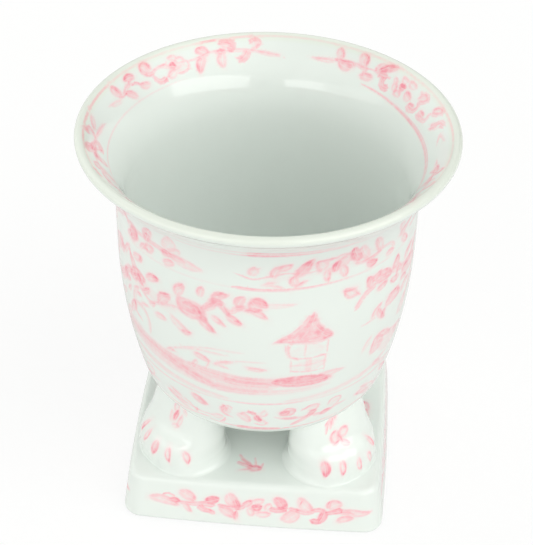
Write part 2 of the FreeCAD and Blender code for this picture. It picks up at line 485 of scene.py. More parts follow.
def collar_garland_right() -> list[Stroke]:
    """Give the right spray inside the collar, whose leaves curl in pairs, counted from its open flower.

    Returns:
        The strokes.
    """
    return [
        Sweep(((-57.2, -9.6), (-61.2, -11.4), (-64.4, -13.4)), 2.8, 1.8, 0.28, 0.2, 0.3),
        Sweep(((-59.4, -9.4), (-68.4, -7.2)), 2.4, 1.8, 0.26, 0.18, 0.3),
        Dab(-48, -10.6, -60, 9, 6, 0.2, 0.1),
        Sweep(((-44, -15.8), (-46.4, -12), (-47.7, -7.4), (-53.6, -5)), 3.8, 2.6, 0.52, 0.38, 0.3),
        Sweep(((-42.3, -14), (-45, -9.6)), 2.6, 2.2, 0.4, 0.32, 0.2),
        Sweep(((-50, -8), (-54.9, -6.8)), 2.6, 2.2, 0.44, 0.36), Dab(-38, -5.6, -35, 9, 5.4, 0.28, 0.1),
        Sweep(((-33.3, -7.2), (-36, -3.8), (-39.6, -2.2), (-42.3, -2.8), (-40, -6.8), (-35, -9.8)),
              1.8, 3.4, 0.48, 0.42, 0.2),
        Sweep(((-33.8, -10), (-34.6, -12.4), (-35, -15.2), (-29.7, -17.4), (-24.8, -17.2), (-24.3, -15.6)),
              2.8, 3.6, 0.4, 0.5, 0.2),
        Dab(-27.9, -14.8, 10, 5.8, 4.2, 0.62, 0.0), Dab(-19.6, -7.8, -30, 8.6, 5.6, 0.28, 0.1),
        Sweep(((-14.8, -7.2), (-18, -4.8), (-22, -4.6), (-23.8, -6), (-22, -9.4), (-18, -11.4)),
              1.8, 3.2, 0.54, 0.44, 0.2),
        Sweep(((-18, -11.4), (-20.7, -13.2), (-20.2, -16.2), (-16.7, -18.6), (-12.6, -18.4), (-11.7, -16.4)),
              2.6, 3.6, 0.42, 0.54, 0.2),
        Dab(-14.8, -16.2, 0, 5.4, 4.2, 0.7, 0.0), Dab(8, -9.2, 60, 5.2, 3.8, 0.36, 0.5),
        Dab(1.6, -6, 10, 6.2, 4.8, 0.38, 0.7, 0.1), Dab(-5.8, -5.8, 10, 7.8, 5.2, 0.38, 0.75, 0.1),
        Dab(-7.4, -13.2, 20, 7.8, 6.2, 0.52, 0.5, 0.1), Dab(1.8, -15.8, 0, 6.6, 4.8, 0.44, 0.75, 0.1),
        Dab(6.2, -13, 70, 6.2, 4.8, 0.44, 0.75, 0.1), Dab(0.4, -10.5, 0, 5.4, 5.4, 1.0, 0.0, 0.0),
        Sweep(((22, -9.4), (30, -10)), 1.2, 1.2, 0.28, 0.26), Dab(17.4, -5, -32, 13, 6, 0.88, 0.05),
        Dab(21.6, -6.8, -42, 9.6, 8.4, 0.3, 0.6, 0.1),
        Sweep(((22, -10.4), (18, -10.6), (14.8, -10)), 3.2, 4.8, 0.54, 0.66, 0.2),
        Sweep(((17, -11), (17, -15), (14, -16.8), (10.4, -15.6)), 3.6, 4.8, 0.54, 0.74, 0.2),
        Dab(29.8, -15.4, -8, 9.8, 6, 0.54, 0.3),
        Sweep(((31.6, -11), (32.6, -13.4), (32, -15.6)), 2.0, 2.8, 0.36, 0.46),
        Dab(36, -5.8, 70, 9, 7.6, 0.42, 0.6, 0.1), Dab(34, -5.6, 80, 6.6, 3.8, 0.62, 0.0),
        Sweep(((30, -10.4), (35, -11), (41, -9.4)), 2.6, 2.4, 0.44, 0.38, 0.2),
        Dab(47.4, -13, 12, 10.4, 7, 0.62, 0.1), Dab(43, -11, 20, 6.4, 3.6, 0.46, 0.0),
        Sweep(((42, -10), (48, -10.6), (55, -10.4)), 2.2, 2.6, 0.42, 0.46, 0.2),
        Dab(52.4, -6, 65, 7.4, 5.8, 0.42, 0.6, 0.1), Dab(50.8, -6.4, 75, 4.8, 2.6, 0.52, 0.0),
        Dab(62, -12.4, -3, 17, 4, 0.34, 0.2, 0.8),
    ]


def frieze_garland() -> list[Stroke]:
    """Give the spray under the collar that runs to the right, counted from its flower.

    Returns:
        The strokes.
    """
    return [
        Sweep(((-40, -3), (-26, 2), (-8, 3), (12, 4), (30, 2)), 9, 8, 0.07, 0.07, 1.5),
        stem((-56, 1), (-46, -2.4), (-37, 0.2), (-29, 2), (-18, 1), (-8, 2), width=1.4, load=0.36),
        Sweep(((14, -1), (18, -2), (26, -2), (33, -0.4)), 2.2, 3.0, 0.42, 0.5, 0.3),
        Sweep(((34, 1), (42, 0.4), (47, -4.4)), 2.2, 3.0, 0.3, 0.3, 0.4), Dab(-46, 4, 70, 8, 7, 0.3, 0.45),
        Dab(-45, 5.4, 20, 6, 2, 0.2, 0.0), Dab(-33.5, 4, 66, 10.5, 6.2, 0.42, 0.35),
        Dab(-28.6, 7.4, 25, 9, 6, 0.44, 0.4), Dab(-38, -6, 20, 8, 3.4, 0.26), Dab(-33, -8, -10, 8, 3, 0.24),
        Dab(-23, -4.2, 100, 8, 6.2, 0.48, 0.3), Dab(-19.4, -7, 32, 8, 2.6, 0.5, 0.0),
        Dab(-18, 5, 60, 14.5, 8, 0.66, 0.1), Dab(-14.6, 9.6, 66, 7, 4.4, 0.5, 0.0),
        Dab(-8, 5.4, 105, 10, 8, 0.42, 0.8, 0.1), Dab(-5, 9, 5, 10, 3, 0.5, 0.1),
        Dab(-3.6, -3.4, -88, 10, 4.8, 0.46, 0.6, 0.2), Dab(6.8, -3.6, -70, 9.5, 6, 0.44, 0.7, 0.2),
        Dab(6.4, 5.4, 50, 12, 9, 0.34, 0.5, 0.2), Dab(1.6, 2, 78, 8.4, 5.6, 0.86, 0.0, 0.1),
        Dab(3.6, 9, 10, 9, 5, 0.26, 0.4, 0.1), Dab(13.4, 7, 118, 16, 7.4, 0.7, 0.05, 0.4),
        Dab(19.2, 6, 120, 16, 8, 0.32, 0.4, 0.3), Dab(26.8, -6.2, -15, 8.6, 6.4, 0.74, 0.1),
        Dab(30, 7, 118, 18, 6.4, 0.42, 0.5, 0.4), Dab(42.6, -6.6, 0, 8, 5.4, 0.42),
        Dab(57, 4, 45, 14, 7.4, 0.6, 0.2), Dab(59, -6, -40, 11, 6.4, 0.48), Dab(50, 9, 125, 14, 5.6, 0.34),
        Dab(70, 0, 10, 13, 5, 0.34, 0.2, 0.8),
    ]


def frieze_garland_left() -> list[Stroke]:
    """Give the spray under the collar that runs to the left, counted from its flower.

    Returns:
        The strokes.
    """
    return [
        Dab(13.4, -1.4, -8, 21, 8.6, 0.26, 0.3, 0.5), Dab(8, 0, -6, 12, 5, 0.24, 0.2),
        Dab(0.4, 0.4, 10, 8.4, 6.4, 0.6, 0.05), Dab(1.4, -6, 20, 9, 6, 0.42, 0.1),
        Dab(4, 10.6, 60, 16, 10.5, 0.24, 0.45), Dab(7, 5, 30, 10, 7, 0.2, 0.2),
        Sweep(((2, 1), (-6, 2.2), (-12, 2.4), (-24, 2.4), (-32, 0)), 4.0, 3.2, 0.42, 0.36, 0.4),
        Dab(-13, 8, 60, 16.5, 7.6, 0.5, 0.1, 0.3), Dab(-14.4, 5.4, 60, 7.6, 5.4, 0.5, 0.0),
        Dab(-14.4, -4, 28, 9.5, 7.4, 0.46, 0.45), Dab(-17, -6.4, 5, 7, 2.4, 0.42, 0.0),
        Dab(-29.6, -2, 62, 15, 8.6, 0.56, 0.1, 0.2), Dab(-29, -4.4, 20, 8.6, 6.4, 0.46, 0.0),
        Dab(-35, -5, 50, 7, 5.4, 0.42, 0.0), Dab(-32.4, 3.6, 40, 8.4, 5.4, 0.42),
        Dab(-41, 8, 32, 26, 7, 0.66, 0.05, 0.3), Dab(-29, 16, 36, 18, 5.4, 0.5, 0.1, 0.5),
        Dab(-54, 0, 32, 14, 6, 0.42), Dab(-52, 12, 40, 12, 6, 0.44), Dab(-62, -5, 30, 12, 6, 0.42),
        Dab(-66, 6, 40, 15, 5, 0.36), Dab(-36, 9, -75, 9, 5, 0.6, 0.05),
        Dab(-28, 0.2, -88, 12.5, 6, 0.62, 0.1), Dab(-21, -6, 50, 7, 4, 0.42, 0.1),
    ]


def base_garland() -> list[Stroke]:
    """Give the spray round the heel of the bowl with the ring under it, counted from its flower.

    Returns:
        The strokes.
    """
    return [
        Sweep(((-80, -12), (-66, -10.8), (-54, -10.4), (-42.4, -9), (-34, -8.4)), 2.2, 1.4, 0.24, 0.28, 0.3),
        Sweep(((-34.4, -10.4), (-24.8, -11.6), (-14.8, -12.2)), 1.3, 1.6, 0.2, 0.3, 0.1),
        Sweep(((-14.8, -12.2), (-8, -12.1), (0, -12.5), (9.2, -12.8), (18.4, -13.2)),
              3.2, 3.0, 0.8, 0.62, 0.1),
        Sweep(((18.4, -13.2), (27.6, -12.9), (42, -12.6), (60, -11)), 1.9, 1.2, 0.44, 0.2, 0.1),
        Dab(-62, -1.4, 166, 15, 6, 0.42, 0.4), Dab(-55, -6, 165, 12, 4, 0.22, 0.3),
        Sweep(((-62, -3), (-50, -4), (-40, -5.6), (-31.6, -5.3)), 1.4, 1.5, 0.26, 0.28, 0.2),
        Dab(-40, 7, -30, 13, 7.2, 0.54, 0.2, 0.2), Dab(-60, 3, 158, 11, 3.4, 0.36, 0.1),
        Sweep(((-54, 1), (-49, -1.6), (-44.6, -6.4)), 1.6, 2.0, 0.4, 0.32, 0.2),
        Dab(-38, 5.8, -20, 7, 4.6, 0.36, 0.0), Sweep(((-43.6, -3.5), (-44.8, -7.7)), 2.0, 1.8, 0.55, 0.45),
        Dab(-20, 3.4, 60, 8, 6, 0.22, 0.2), Dab(-22, 5, 80, 7.4, 5.2, 0.55, 0.05),
        Sweep(((-20.8, 8.5), (-23.6, 7), (-24.4, 3.1), (-22.4, -0.2), (-18, -2.3)),
              1.5, 2.1, 0.44, 0.38, 0.1),
        Sweep(((-20.8, 8.5), (-17.6, 8.5), (-16.4, 6.1)), 1.4, 1.3, 0.36, 0.42),
        Dab(-27.6, -5, 15, 9, 6, 0.22, 0.4),
        Sweep(((-26.4, -10.7), (-23.2, -8.3), (-21.6, -5)), 1.7, 2.1, 0.44, 0.6, 0.1),
        Dab(-8, -1, -45, 11.4, 7.6, 0.32, 0.3, 0.1),
        Sweep(((-10.8, 1.6), (-7.2, 4.6), (-4, 4.6)), 1.5, 1.7, 0.4, 0.44),
        Sweep(((-5.8, 5.2), (-2.8, 4.6), (-0.2, 2.6)), 2.6, 3.4, 0.6, 0.7, 0.1),
        Dab(5, 4.6, 60, 7, 5, 0.16, 0.3), Dab(4, -4.4, -20, 7, 4.6, 0.14, 0.3),
        Sweep(((2.8, 1.6), (6.4, 1.6), (8, 4.9)), 1.3, 1.7, 0.32, 0.4),
        Sweep(((-1.6, -5.9), (2, -8), (6, -8), (8, -4.7)), 1.5, 1.5, 0.38, 0.34),
        Dab(1.2, -1.1, -60, 7.2, 5.2, 0.95, 0.0), Dab(23, 4.6, 10, 8, 6, 0.22, 0.1),
        Dab(19.6, 4, 20, 7.6, 6.4, 0.84, 0.05),
        Sweep(((18, 7), (22, 8.2), (26.4, 6.1), (24.4, 1.9), (21.2, 1)), 1.7, 1.9, 0.44, 0.4, 0.1),
        Sweep(((17.6, -0.8), (22.8, -2.3), (28.8, -1.7)), 2.2, 2.8, 0.4, 0.44, 0.2),
        Sweep(((13.2, -0.2), (21.2, -2.9), (30.8, -3.2), (39.2, -2.3)), 1.3, 2.4, 0.26, 0.38, 0.2),
        Sweep(((24.4, -9.8), (28.8, -7.7), (34.8, -4.4), (40.8, -0.5)), 2.8, 3.6, 0.5, 0.48, 0.2),
        Sweep(((40, -3), (50, -3.6), (58.4, -0.5), (66, 0)), 3.2, 1.5, 0.44, 0.28, 0.2),
        Dab(39.4, 0, 40, 7.2, 5.6, 0.6, 0.1), Dab(49.8, -3, 20, 8.2, 4.8, 0.58, 0.1),
        Sweep(((32, 4.6), (36.8, 7.9), (43.2, 6.7), (42, 3.4), (35.6, 3.1)), 1.6, 1.5, 0.4, 0.36, 0.1),
        Dab(38, 5.4, 5, 9, 4, 0.15, 0.2),
        Sweep(((50.4, 3.7), (52.4, 7.9), (60.4, 7), (59.2, 2.5), (55.2, 0.1)), 1.6, 1.5, 0.38, 0.34, 0.1),
        Dab(55.6, 4.4, 20, 8, 6, 0.13, 0.2),
    ]


def left_branch() -> list[Stroke]:
    """Give the blossoming branch that comes in over the water from the left.

    Returns:
        The strokes.
    """
    return [
        Sweep(((-30, 183), (-44, 178), (-58, 174), (-74, 176), (-92, 178)), 8, 9, 0.1, 0.12, 2.0),
        Sweep(((-120, 164), (-110, 165), (-101, 171), (-94, 178), (-88, 181)), 6.4, 5.0, 0.4, 0.46, 0.6),
        stem((-80, 174), (-70, 169), (-60, 173), (-46, 177), (-36, 178), width=2.4, load=0.3),
        Sweep(((-32, 179), (-28, 184.6), (-23, 189), (-17, 190)), 4.0, 4.4, 0.42, 0.4, 0.3),
        Sweep(((-20, 189), (-14, 184.8), (-7, 188), (2, 187)), 3.6, 2.6, 0.38, 0.3, 0.4),
        Dab(-38, 180.2, 172, 20.5, 14, 0.42, 0.3, 0.1), Dab(-37.4, 180.6, -12, 13, 8.6, 0.5, 0.0),
        Dab(-31.6, 177.6, -52, 13, 7.6, 0.52, 0.05), Dab(-28, 171.2, -40, 14, 5.8, 0.5, 0.3),
        Dab(-25.8, 169.2, -50, 5.4, 4, 0.5, 0.0), Dab(-45.6, 191, 60, 11.5, 7.8, 0.4, 0.55),
        Dab(-45.6, 193, 40, 7, 3.4, 0.42, 0.0), Dab(-31.2, 195, 75, 8, 5.8, 0.42, 0.25),
        Dab(-20, 194.6, 30, 11, 7, 0.48, 0.35), Dab(-18, 196, 15, 7.4, 3, 0.5, 0.0),
        Dab(-22, 190.4, 10, 9, 5.4, 0.44), Dab(-25, 186, 45, 11, 5.2, 0.36, 0.1),
        Dab(-15.6, 184.6, -60, 8, 4, 0.42, 0.0), Dab(-7.6, 193.6, 60, 9, 7, 0.5, 0.2),
        Dab(-8, 188.8, 20, 8, 3.6, 0.42), Dab(3.4, 193.4, -20, 11, 7.4, 0.66, 0.1),
        Dab(1, 190.6, 120, 9.6, 8, 0.4, 0.75, 0.1), Dab(0.4, 187.8, 8, 10, 3.6, 0.56, 0.0),
        Dab(3.4, 185, -30, 11, 5, 0.42, 0.4), Dab(15, 191.4, 0, 20, 4.6, 0.16, 0.1, 0.8),
        Dab(-11.4, 179.2, -35, 11, 6, 0.44, 0.4), Dab(-8.6, 177.6, -20, 5, 3.2, 0.5, 0.0),
        Dab(-21.6, 177, -40, 8, 4.6, 0.4), Dab(-18.4, 175.4, -50, 6, 2.6, 0.42, 0.0),
        Dab(-57.6, 178.2, 48, 13.5, 8.6, 0.46, 0.45), Dab(-56.6, 181.6, 20, 8, 3.4, 0.46, 0.0),
        Dab(-67, 188, 25, 12.5, 6.6, 0.56, 0.35), Dab(-64.4, 189, 20, 6, 4.6, 0.42, 0.0),
        Dab(-61, 162.4, 5, 9.6, 5.4, 0.36), Dab(-46.4, 163.6, -32, 16, 6.6, 0.28, 0.5, 0.1),
        Dab(-41.4, 160, 8, 7, 4, 0.54, 0.1), Dab(-67.6, 168, 30, 6.4, 4, 0.42),
        Dab(-82.6, 180.6, 15, 18, 10.5, 0.6, 0.1), Dab(-85, 178.6, 30, 12, 6, 0.42, 0.0),
        Dab(-87, 187.4, 120, 13, 6.4, 0.46, 0.2), Dab(-95, 170.4, 20, 7.4, 5, 0.5, 0.0),
        Dab(-104, 167, 38, 19, 8, 0.46, 0.1), Dab(-110, 189, 30, 20, 12, 0.46, 0.1),
        Dab(-103.6, 187, 10, 9, 6, 0.42, 0.0), Dab(-95, 193, 50, 13, 5, 0.4, 0.2),
        Dab(-81, 195, 20, 11, 6.6, 0.4, 0.35), Dab(-78, 195, 60, 5.6, 4, 0.42, 0.0),
        Dab(-73, 175, 40, 9, 4.8, 0.48, 0.2), Dab(-82, 166.6, 10, 6.4, 3.6, 0.42),
        Dab(-76, 162, 20, 9, 3, 0.34, 0.1), Dab(-90.6, 152, 55, 13.5, 7.4, 0.54, 0.1),
        Sweep(((-90, 154), (-83, 158.4), (-76, 157), (-73, 151), (-73.6, 140)), 3.4, 2.6, 0.34, 0.2, 0.5),
        Dab(-87, 162, 80, 12, 5, 0.24), Dab(-119, 176, 30, 14, 8, 0.46), Dab(-120, 200, 40, 12, 7, 0.42),
        Dab(-126, 186, 20, 10, 7, 0.4), Dab(-108, 152, 35, 16, 6, 0.3), Dab(-100, 142, 40, 14, 6, 0.34),
        Dab(-104, 190.4, -8, 12, 5, 0.54, 0.1),
        Sweep(((-91.8, 195.4), (-90, 192), (-88, 188.6)), 2.4, 2.0, 0.5, 0.4),
        Dab(-79.6, 179.2, -40, 9, 5, 0.72, 0.0), Dab(-98, 173, 60, 10, 6, 0.6, 0.1),
        Dab(-84, 170, 35, 8, 3.4, 0.4, 0.1),
        Sweep(((-89, 156), (-88, 149), (-81, 146.4)), 2.4, 2.0, 0.46, 0.36, 0.2),
        Dab(-94, 163.4, 50, 8, 4, 0.4, 0.1),
    ]


def right_branch() -> list[Stroke]:
    """Give the smaller branch on the right bank.

    Returns:
        The strokes.
    """
    return [
        Sweep(((63, 177), (66, 181.4), (70, 185.4), (78, 188.6)), 3.4, 4.6, 0.5, 0.4, 0.3),
        Sweep(((78, 189), (92, 190), (104, 186), (124, 184)), 4.4, 4.0, 0.3, 0.3, 0.8),
        Dab(58.4, 191.2, 145, 11.5, 7.6, 0.46, 0.65), Dab(58, 193.8, 175, 9, 3, 0.4, 0.0),
        Dab(63.4, 188.4, -45, 5, 2.4, 0.42, 0.0), Dab(72.6, 193, 100, 8.6, 7, 0.62, 0.2),
        Dab(78, 194.4, 20, 9, 6, 0.4), Dab(85, 191, -12, 16, 10, 0.6, 0.15), Dab(84, 184, 10, 10, 5.6, 0.5),
        Dab(97, 194, 60, 9.6, 8, 0.58, 0.2), Dab(101, 188, -40, 9, 6, 0.36),
        Dab(96.6, 182, 170, 10.5, 5.6, 0.46), Dab(117, 181, -8, 24, 12.5, 0.46, 0.1),
        Dab(112, 192, 30, 10, 6, 0.4), Dab(126, 192, 30, 12, 8, 0.42),
        Dab(80.4, 166.6, 45, 11.5, 5, 0.4, 0.6), Dab(84.6, 162, -55, 13, 5.6, 0.52, 0.2),
        Dab(87.6, 161, 70, 7, 4.6, 0.46), stem((71, 160.6), (81, 161.6), width=1.6, load=0.24),
        Dab(97, 168, 6, 17, 9.6, 0.56, 0.2, 0.1), Dab(97, 171.8, 4, 12, 3, 0.4, 0.0),
        Dab(112, 168, 30, 12, 7, 0.4), Dab(113, 152, 60, 16, 12, 0.26, 0.2), Dab(122, 164, 40, 12, 8, 0.36),
        Dab(86, 136.4, 80, 15, 13, 0.44, 0.15, 0.1), Dab(93, 141, -25, 17, 5.6, 0.42, 0.1),
        Dab(100, 132, -12, 26, 17, 0.24, 0.2, 0.1), Dab(76, 142, 60, 12, 5, 0.18),
        Dab(112, 133, -10, 14, 9, 0.36), Dab(120.6, 187.4, 41, 14, 6, 0.52, 0.1),
        Dab(116, 194, 14, 11, 5, 0.52, 0.1), Dab(110, 182.6, 0, 9, 5, 0.54, 0.1),
        Dab(109, 175.4, -12, 9, 5, 0.5, 0.1),
        Sweep(((99.4, 189.2), (98.6, 185), (97, 181.6)), 3.0, 2.4, 0.5, 0.4),
        Sweep(((126, 187), (122, 173), (117, 158), (113, 146)), 3.2, 2.4, 0.42, 0.3, 0.3),
    ]


def pavilion() -> list[Stroke]:
    """Give the open pavilion with its peaked roof, posts and rail.

    Returns:
        The strokes.
    """
    return [
        Sweep(((35.4, 181.6), (31, 175.6), (24, 169.2), (14, 164)), 6.4, 3.2, 0.54, 0.48, 0.5),
        Sweep(((20, 165), (30, 166.2), (40, 166), (47, 164.6)), 7.4, 7.0, 0.44, 0.5, 0.6),
        Sweep(((34.8, 178.6), (35.6, 173), (38.4, 168)), 6.6, 11, 0.46, 0.42, 0.6),
        Dab(42.4, 166.2, -42, 13, 8.4, 0.38, 0.0, 0.1), Dab(30.4, 168.4, 50, 9.4, 5.4, 0.36, 0.0),
        Dab(39.4, 170.6, -50, 8, 5, 0.3, 0.0), Dab(35.2, 179.8, 75, 8, 5, 0.46, 0.0),
        Dab(16.4, 164.6, 20, 9, 3, 0.26, 0.0), Dab(34, 163.6, 4, 12, 4.4, 0.26, 0.0),
        Sweep(((13, 164), (22, 163), (31, 161.6), (39, 160.8), (46.6, 163)), 1.8, 3.0, 0.34, 0.28, 0.3),
        Sweep(((20.6, 161), (20.4, 156), (22, 151)), 3.4, 1.8, 0.44, 0.3, 0.3),
        stem((31.4, 160), (31, 150), width=1.6, load=0.22),
        stem((45.2, 161), (45.2, 150), width=1.8, load=0.26),
        stem((22.4, 150.6), (33, 148.4), (45, 149), width=1.3, load=0.32),
        Dab(25, 149.6, -30, 5.6, 1.8, 0.36, 0.0), Dab(42, 148.6, 0, 5, 2, 0.36, 0.0),
        stem((22.8, 149), (23, 138.6), width=1.6, load=0.22),
        Sweep(((34, 149), (34, 137)), 3.6, 4.0, 0.2, 0.26, 0.4),
        stem((44.2, 148.6), (44.4, 136), width=1.7, load=0.26),
        stem((22.6, 144), (34, 143), (45, 144), width=1.0, load=0.16),
        stem((23, 139), (34, 136.8), (45, 137), width=1.3, load=0.32), Dab(33, 155, 0, 22, 9, 0.06, 0.0, 0.0),
        Dab(34, 142, 0, 22, 9, 0.1, 0.0, 0.0),
    ]


def shore() -> list[Stroke]:
    """Give the washes of the near bank, the island under the pavilion and the grass between them.

    Returns:
        The strokes.
    """
    return [
        Sweep(((-126, 116), (-112, 126), (-96, 132), (-76, 130), (-52, 128), (-24, 126), (14, 126)),
              15, 14, 0.24, 0.24, 1.6),
        Sweep(((-152, 112), (-139, 114.6), (-124, 119)), 3.0, 13, 0.08, 0.22, 1.2),
        Sweep(((-104, 138), (-92, 134.6), (-76, 134), (-50, 133), (-22, 131), (14, 130)),
              5.0, 5.0, 0.2, 0.2, 1.2),
        Sweep(((-116, 120), (-104, 131), (-88, 131.4), (-70, 131), (-54, 129.6), (-40, 126), (-24, 120.6)),
              5.4, 7.6, 0.24, 0.3, 1.0),
        Sweep(((-62, 130), (-52, 128.6), (-40, 125.6), (-28, 122)), 6.0, 5.0, 0.22, 0.2, 1.0),
        Sweep(((-42, 134.6), (-22, 133.4), (-4, 131.6), (14, 131)), 3.6, 5.6, 0.26, 0.26, 0.7),
        Sweep(((-18, 128.8), (-8, 127.8), (12, 127.4)), 5.0, 4.0, 0.32, 0.24, 0.6),
        Sweep(((-28, 120.4), (0, 120.4), (24, 120.6), (50, 121)), 6.0, 3.0, 0.28, 0.12, 1.0),
        Sweep(((-96, 117), (-74, 116), (-48, 114), (-16, 111.4)), 5.0, 3.0, 0.26, 0.18, 0.8),
        Sweep(((20, 111), (44, 112), (64, 113.6), (88, 116), (104, 121)), 2.6, 4.6, 0.14, 0.26, 0.8),
        Sweep(((88, 118), (98, 113), (112, 110)), 5.0, 3.0, 0.3, 0.2, 0.6),
        Dab(31, 128.8, -5, 38, 10, 0.8, 0.05, 0.12, -0.1), Dab(17, 130, -8, 11, 6.4, 0.34, 0.0),
        Dab(48, 130.4, 4, 22, 7, 0.24, 0.0, 0.8), Dab(33, 127, -4, 30, 4, 0.3, 0.0),
        Dab(-32, 143.8, -18, 11, 5.4, 0.46, 0.15), Dab(-37, 137, 60, 7, 4, 0.26),
        Dab(-55, 138.4, 15, 8, 2.8, 0.34, 0.1),
        Sweep(((-58, 138), (-48, 144), (-34, 149), (-16, 150)), 1.8, 2.2, 0.24, 0.16, 0.4),
        Sweep(((-46, 146), (-28, 152.6), (-6, 154)), 1.6, 2.0, 0.2, 0.1, 0.4),
        Dab(-17.6, 143.6, 18, 11, 3.2, 0.36, 0.1), Dab(-20, 140, -8, 10, 2.4, 0.24, 0.1),
        Dab(2, 141.2, -8, 12, 3.8, 0.42, 0.15),
        Sweep(((-24, 141), (-10, 146.4), (8, 147)), 1.6, 1.6, 0.22, 0.1, 0.3),
        Dab(-28, 138.4, 70, 8, 2, 0.22, 0.0),
    ]


def plinth_garland() -> list[Stroke]:
    """Give the spray along one side of the plinth, counted from the side's middle, at heights over the floor.

    Returns:
        The strokes.
    """
    return [
        Dab(-57, 16.8, -14, 20, 8, 0.36, 0.3, 0.5),
        Sweep(((-58, 21.4), (-54, 22.6), (-50, 20.6)), 1.5, 1.5, 0.44, 0.4),
        Dab(-50, 17.6, -10, 7, 4.6, 0.74, 0.0), Dab(-41.6, 22.4, -32, 12.4, 8.2, 0.42, 0.4, 0.2),
        Dab(-42, 12.8, -58, 9.4, 4.2, 0.38),
        Sweep(((-47, 16.4), (-38, 16), (-30, 16.6), (-24, 16)), 2.6, 4.6, 0.42, 0.5, 0.3),
        Dab(-25.6, 20.2, 20, 9.6, 7.2, 0.84, 0.05),
        Sweep(((-34.4, 15), (-32, 12.4), (-27, 11), (-24, 9)), 5.0, 2.6, 0.46, 0.56, 0.2),
        Dab(-26.6, 11.2, -20, 6, 2.6, 0.4, 0.0), Dab(-12.8, 21.4, -58, 12, 9, 0.46, 0.45, 0.2),
        Dab(-9.6, 18, -70, 8.6, 5.4, 0.6, 0.0), Dab(-15.6, 11.6, -35, 13.4, 7.4, 0.44, 0.35, 0.2),
        Dab(-10, 9.4, 86, 7.6, 3.6, 0.62, 0.0),
        Sweep(((-22, 16.6), (-14, 15.4), (-8, 15.8), (-4, 17.4)), 3.0, 3.4, 0.46, 0.5, 0.2),
        Dab(-2.6, 19.6, 40, 8, 5.4, 0.5, 0.2), Dab(4.4, 22.2, 10, 8, 5, 0.32, 0.7, 0.1),
        Dab(-0.6, 13, -70, 7, 5.4, 0.34, 0.6, 0.1), Dab(7.4, 11.8, 5, 10.4, 5.4, 0.34, 0.7, 0.1),
        Dab(10.8, 18, 60, 7, 5, 0.28, 0.6, 0.1), Dab(3.4, 17, 10, 7, 5.8, 0.94, 0.0, 0.1),
        Dab(18.8, 21.2, -58, 12.4, 8, 0.74, 0.15, 0.2),
        Sweep(((11.6, 16.6), (16, 15.8), (23, 17.8)), 3.6, 5.4, 0.56, 0.6, 0.2),
        Dab(25.8, 11.8, 42, 14.4, 10, 0.36, 0.35, 0.2),
        Sweep(((24, 18), (30, 16.6), (34.6, 15), (41, 17)), 3.0, 3.6, 0.42, 0.46, 0.2),
        Dab(34.6, 21.2, -48, 14.4, 8.4, 0.34, 0.5, 0.3), Dab(32, 22.4, 70, 4.6, 1.6, 0.42, 0.0),
        Sweep(((39.6, 17.4), (45, 18), (47.6, 15), (46, 10.4), (42.4, 8.4), (38.2, 9.6)),
              3.2, 4.6, 0.5, 0.74, 0.2),
        Dab(46, 13.4, 72, 11.4, 6, 0.5, 0.0), Dab(53.6, 22.6, 30, 10, 8.2, 0.34, 0.5, 0.1),
        Dab(49.8, 22.6, 80, 6, 3.4, 0.42, 0.0),
        Sweep(((48, 15.6), (53, 17), (58.6, 18.8)), 2.8, 5.0, 0.6, 0.7, 0.2),
        Dab(66.6, 17.2, -3, 21, 6.8, 0.38, 0.4, 0.5), Dab(62, 16.4, -6, 9, 3.6, 0.34, 0.0),
        Dab(60.6, 11.6, 18, 11.4, 5.8, 0.44, 0.25),
    ]


def deck_sprig() -> list[Stroke]:
    """Give the small sprig on the plinth's deck between two feet, counted from its root.

    Returns:
        The strokes.
    """
    return [
        Sweep(((-10.8, 11.4), (-7.6, 6.8), (-2.6, 2.6)), 1.5, 3.0, 0.4, 0.56, 0.1),
        Sweep(((-11.6, 4.2), (-7, 2.6), (-1.6, 0.4)), 2.6, 3.4, 0.58, 0.68, 0.2),
        Sweep(((-9.4, 7), (-5.4, 4.2), (-0.6, 1)), 1.8, 2.6, 0.46, 0.52),
        Sweep(((-0.6, 9.4), (0.4, 5), (0.6, 1)), 1.2, 1.8, 0.32, 0.46),
        Sweep(((5.2, 4.8), (4.4, 1.6), (3, -1)), 1.3, 2.6, 0.4, 0.66),
        Dab(0.2, -0.4, 10, 9, 6, 0.82, 0.35, 0.1), Dab(-6, -2.2, 12, 7, 1.9, 0.38, 0.0),
        Dab(-4, 1.6, -20, 7, 3, 0.4, 0.0),
    ]


def left_ankle_flower() -> list[Stroke]:
    """Give the small drooping flower on the left ankles, counted from its heart.

    Returns:
        The strokes.
    """
    return [
        Dab(-1, 5.6, 95, 8, 5.6, 0.26, 0.5), Dab(4, -2.6, 80, 9.5, 4, 0.3, 0.5),
        Dab(1.6, -7, 10, 6, 3.6, 0.22, 0.4), Dab(-3.4, -2, 100, 7.4, 4.2, 0.18, 0.4),
        Dab(0, 0, 78, 7.4, 4, 0.88, 0.0),
        Sweep(((-2.8, 13.4), (0.7, 11.6), (4, 7.4), (7.4, 2.6)), 1.8, 3.2, 0.48, 0.14, 0.3),
        Dab(-2.4, 13, 20, 3.4, 2, 0.4, 0.0),
    ]


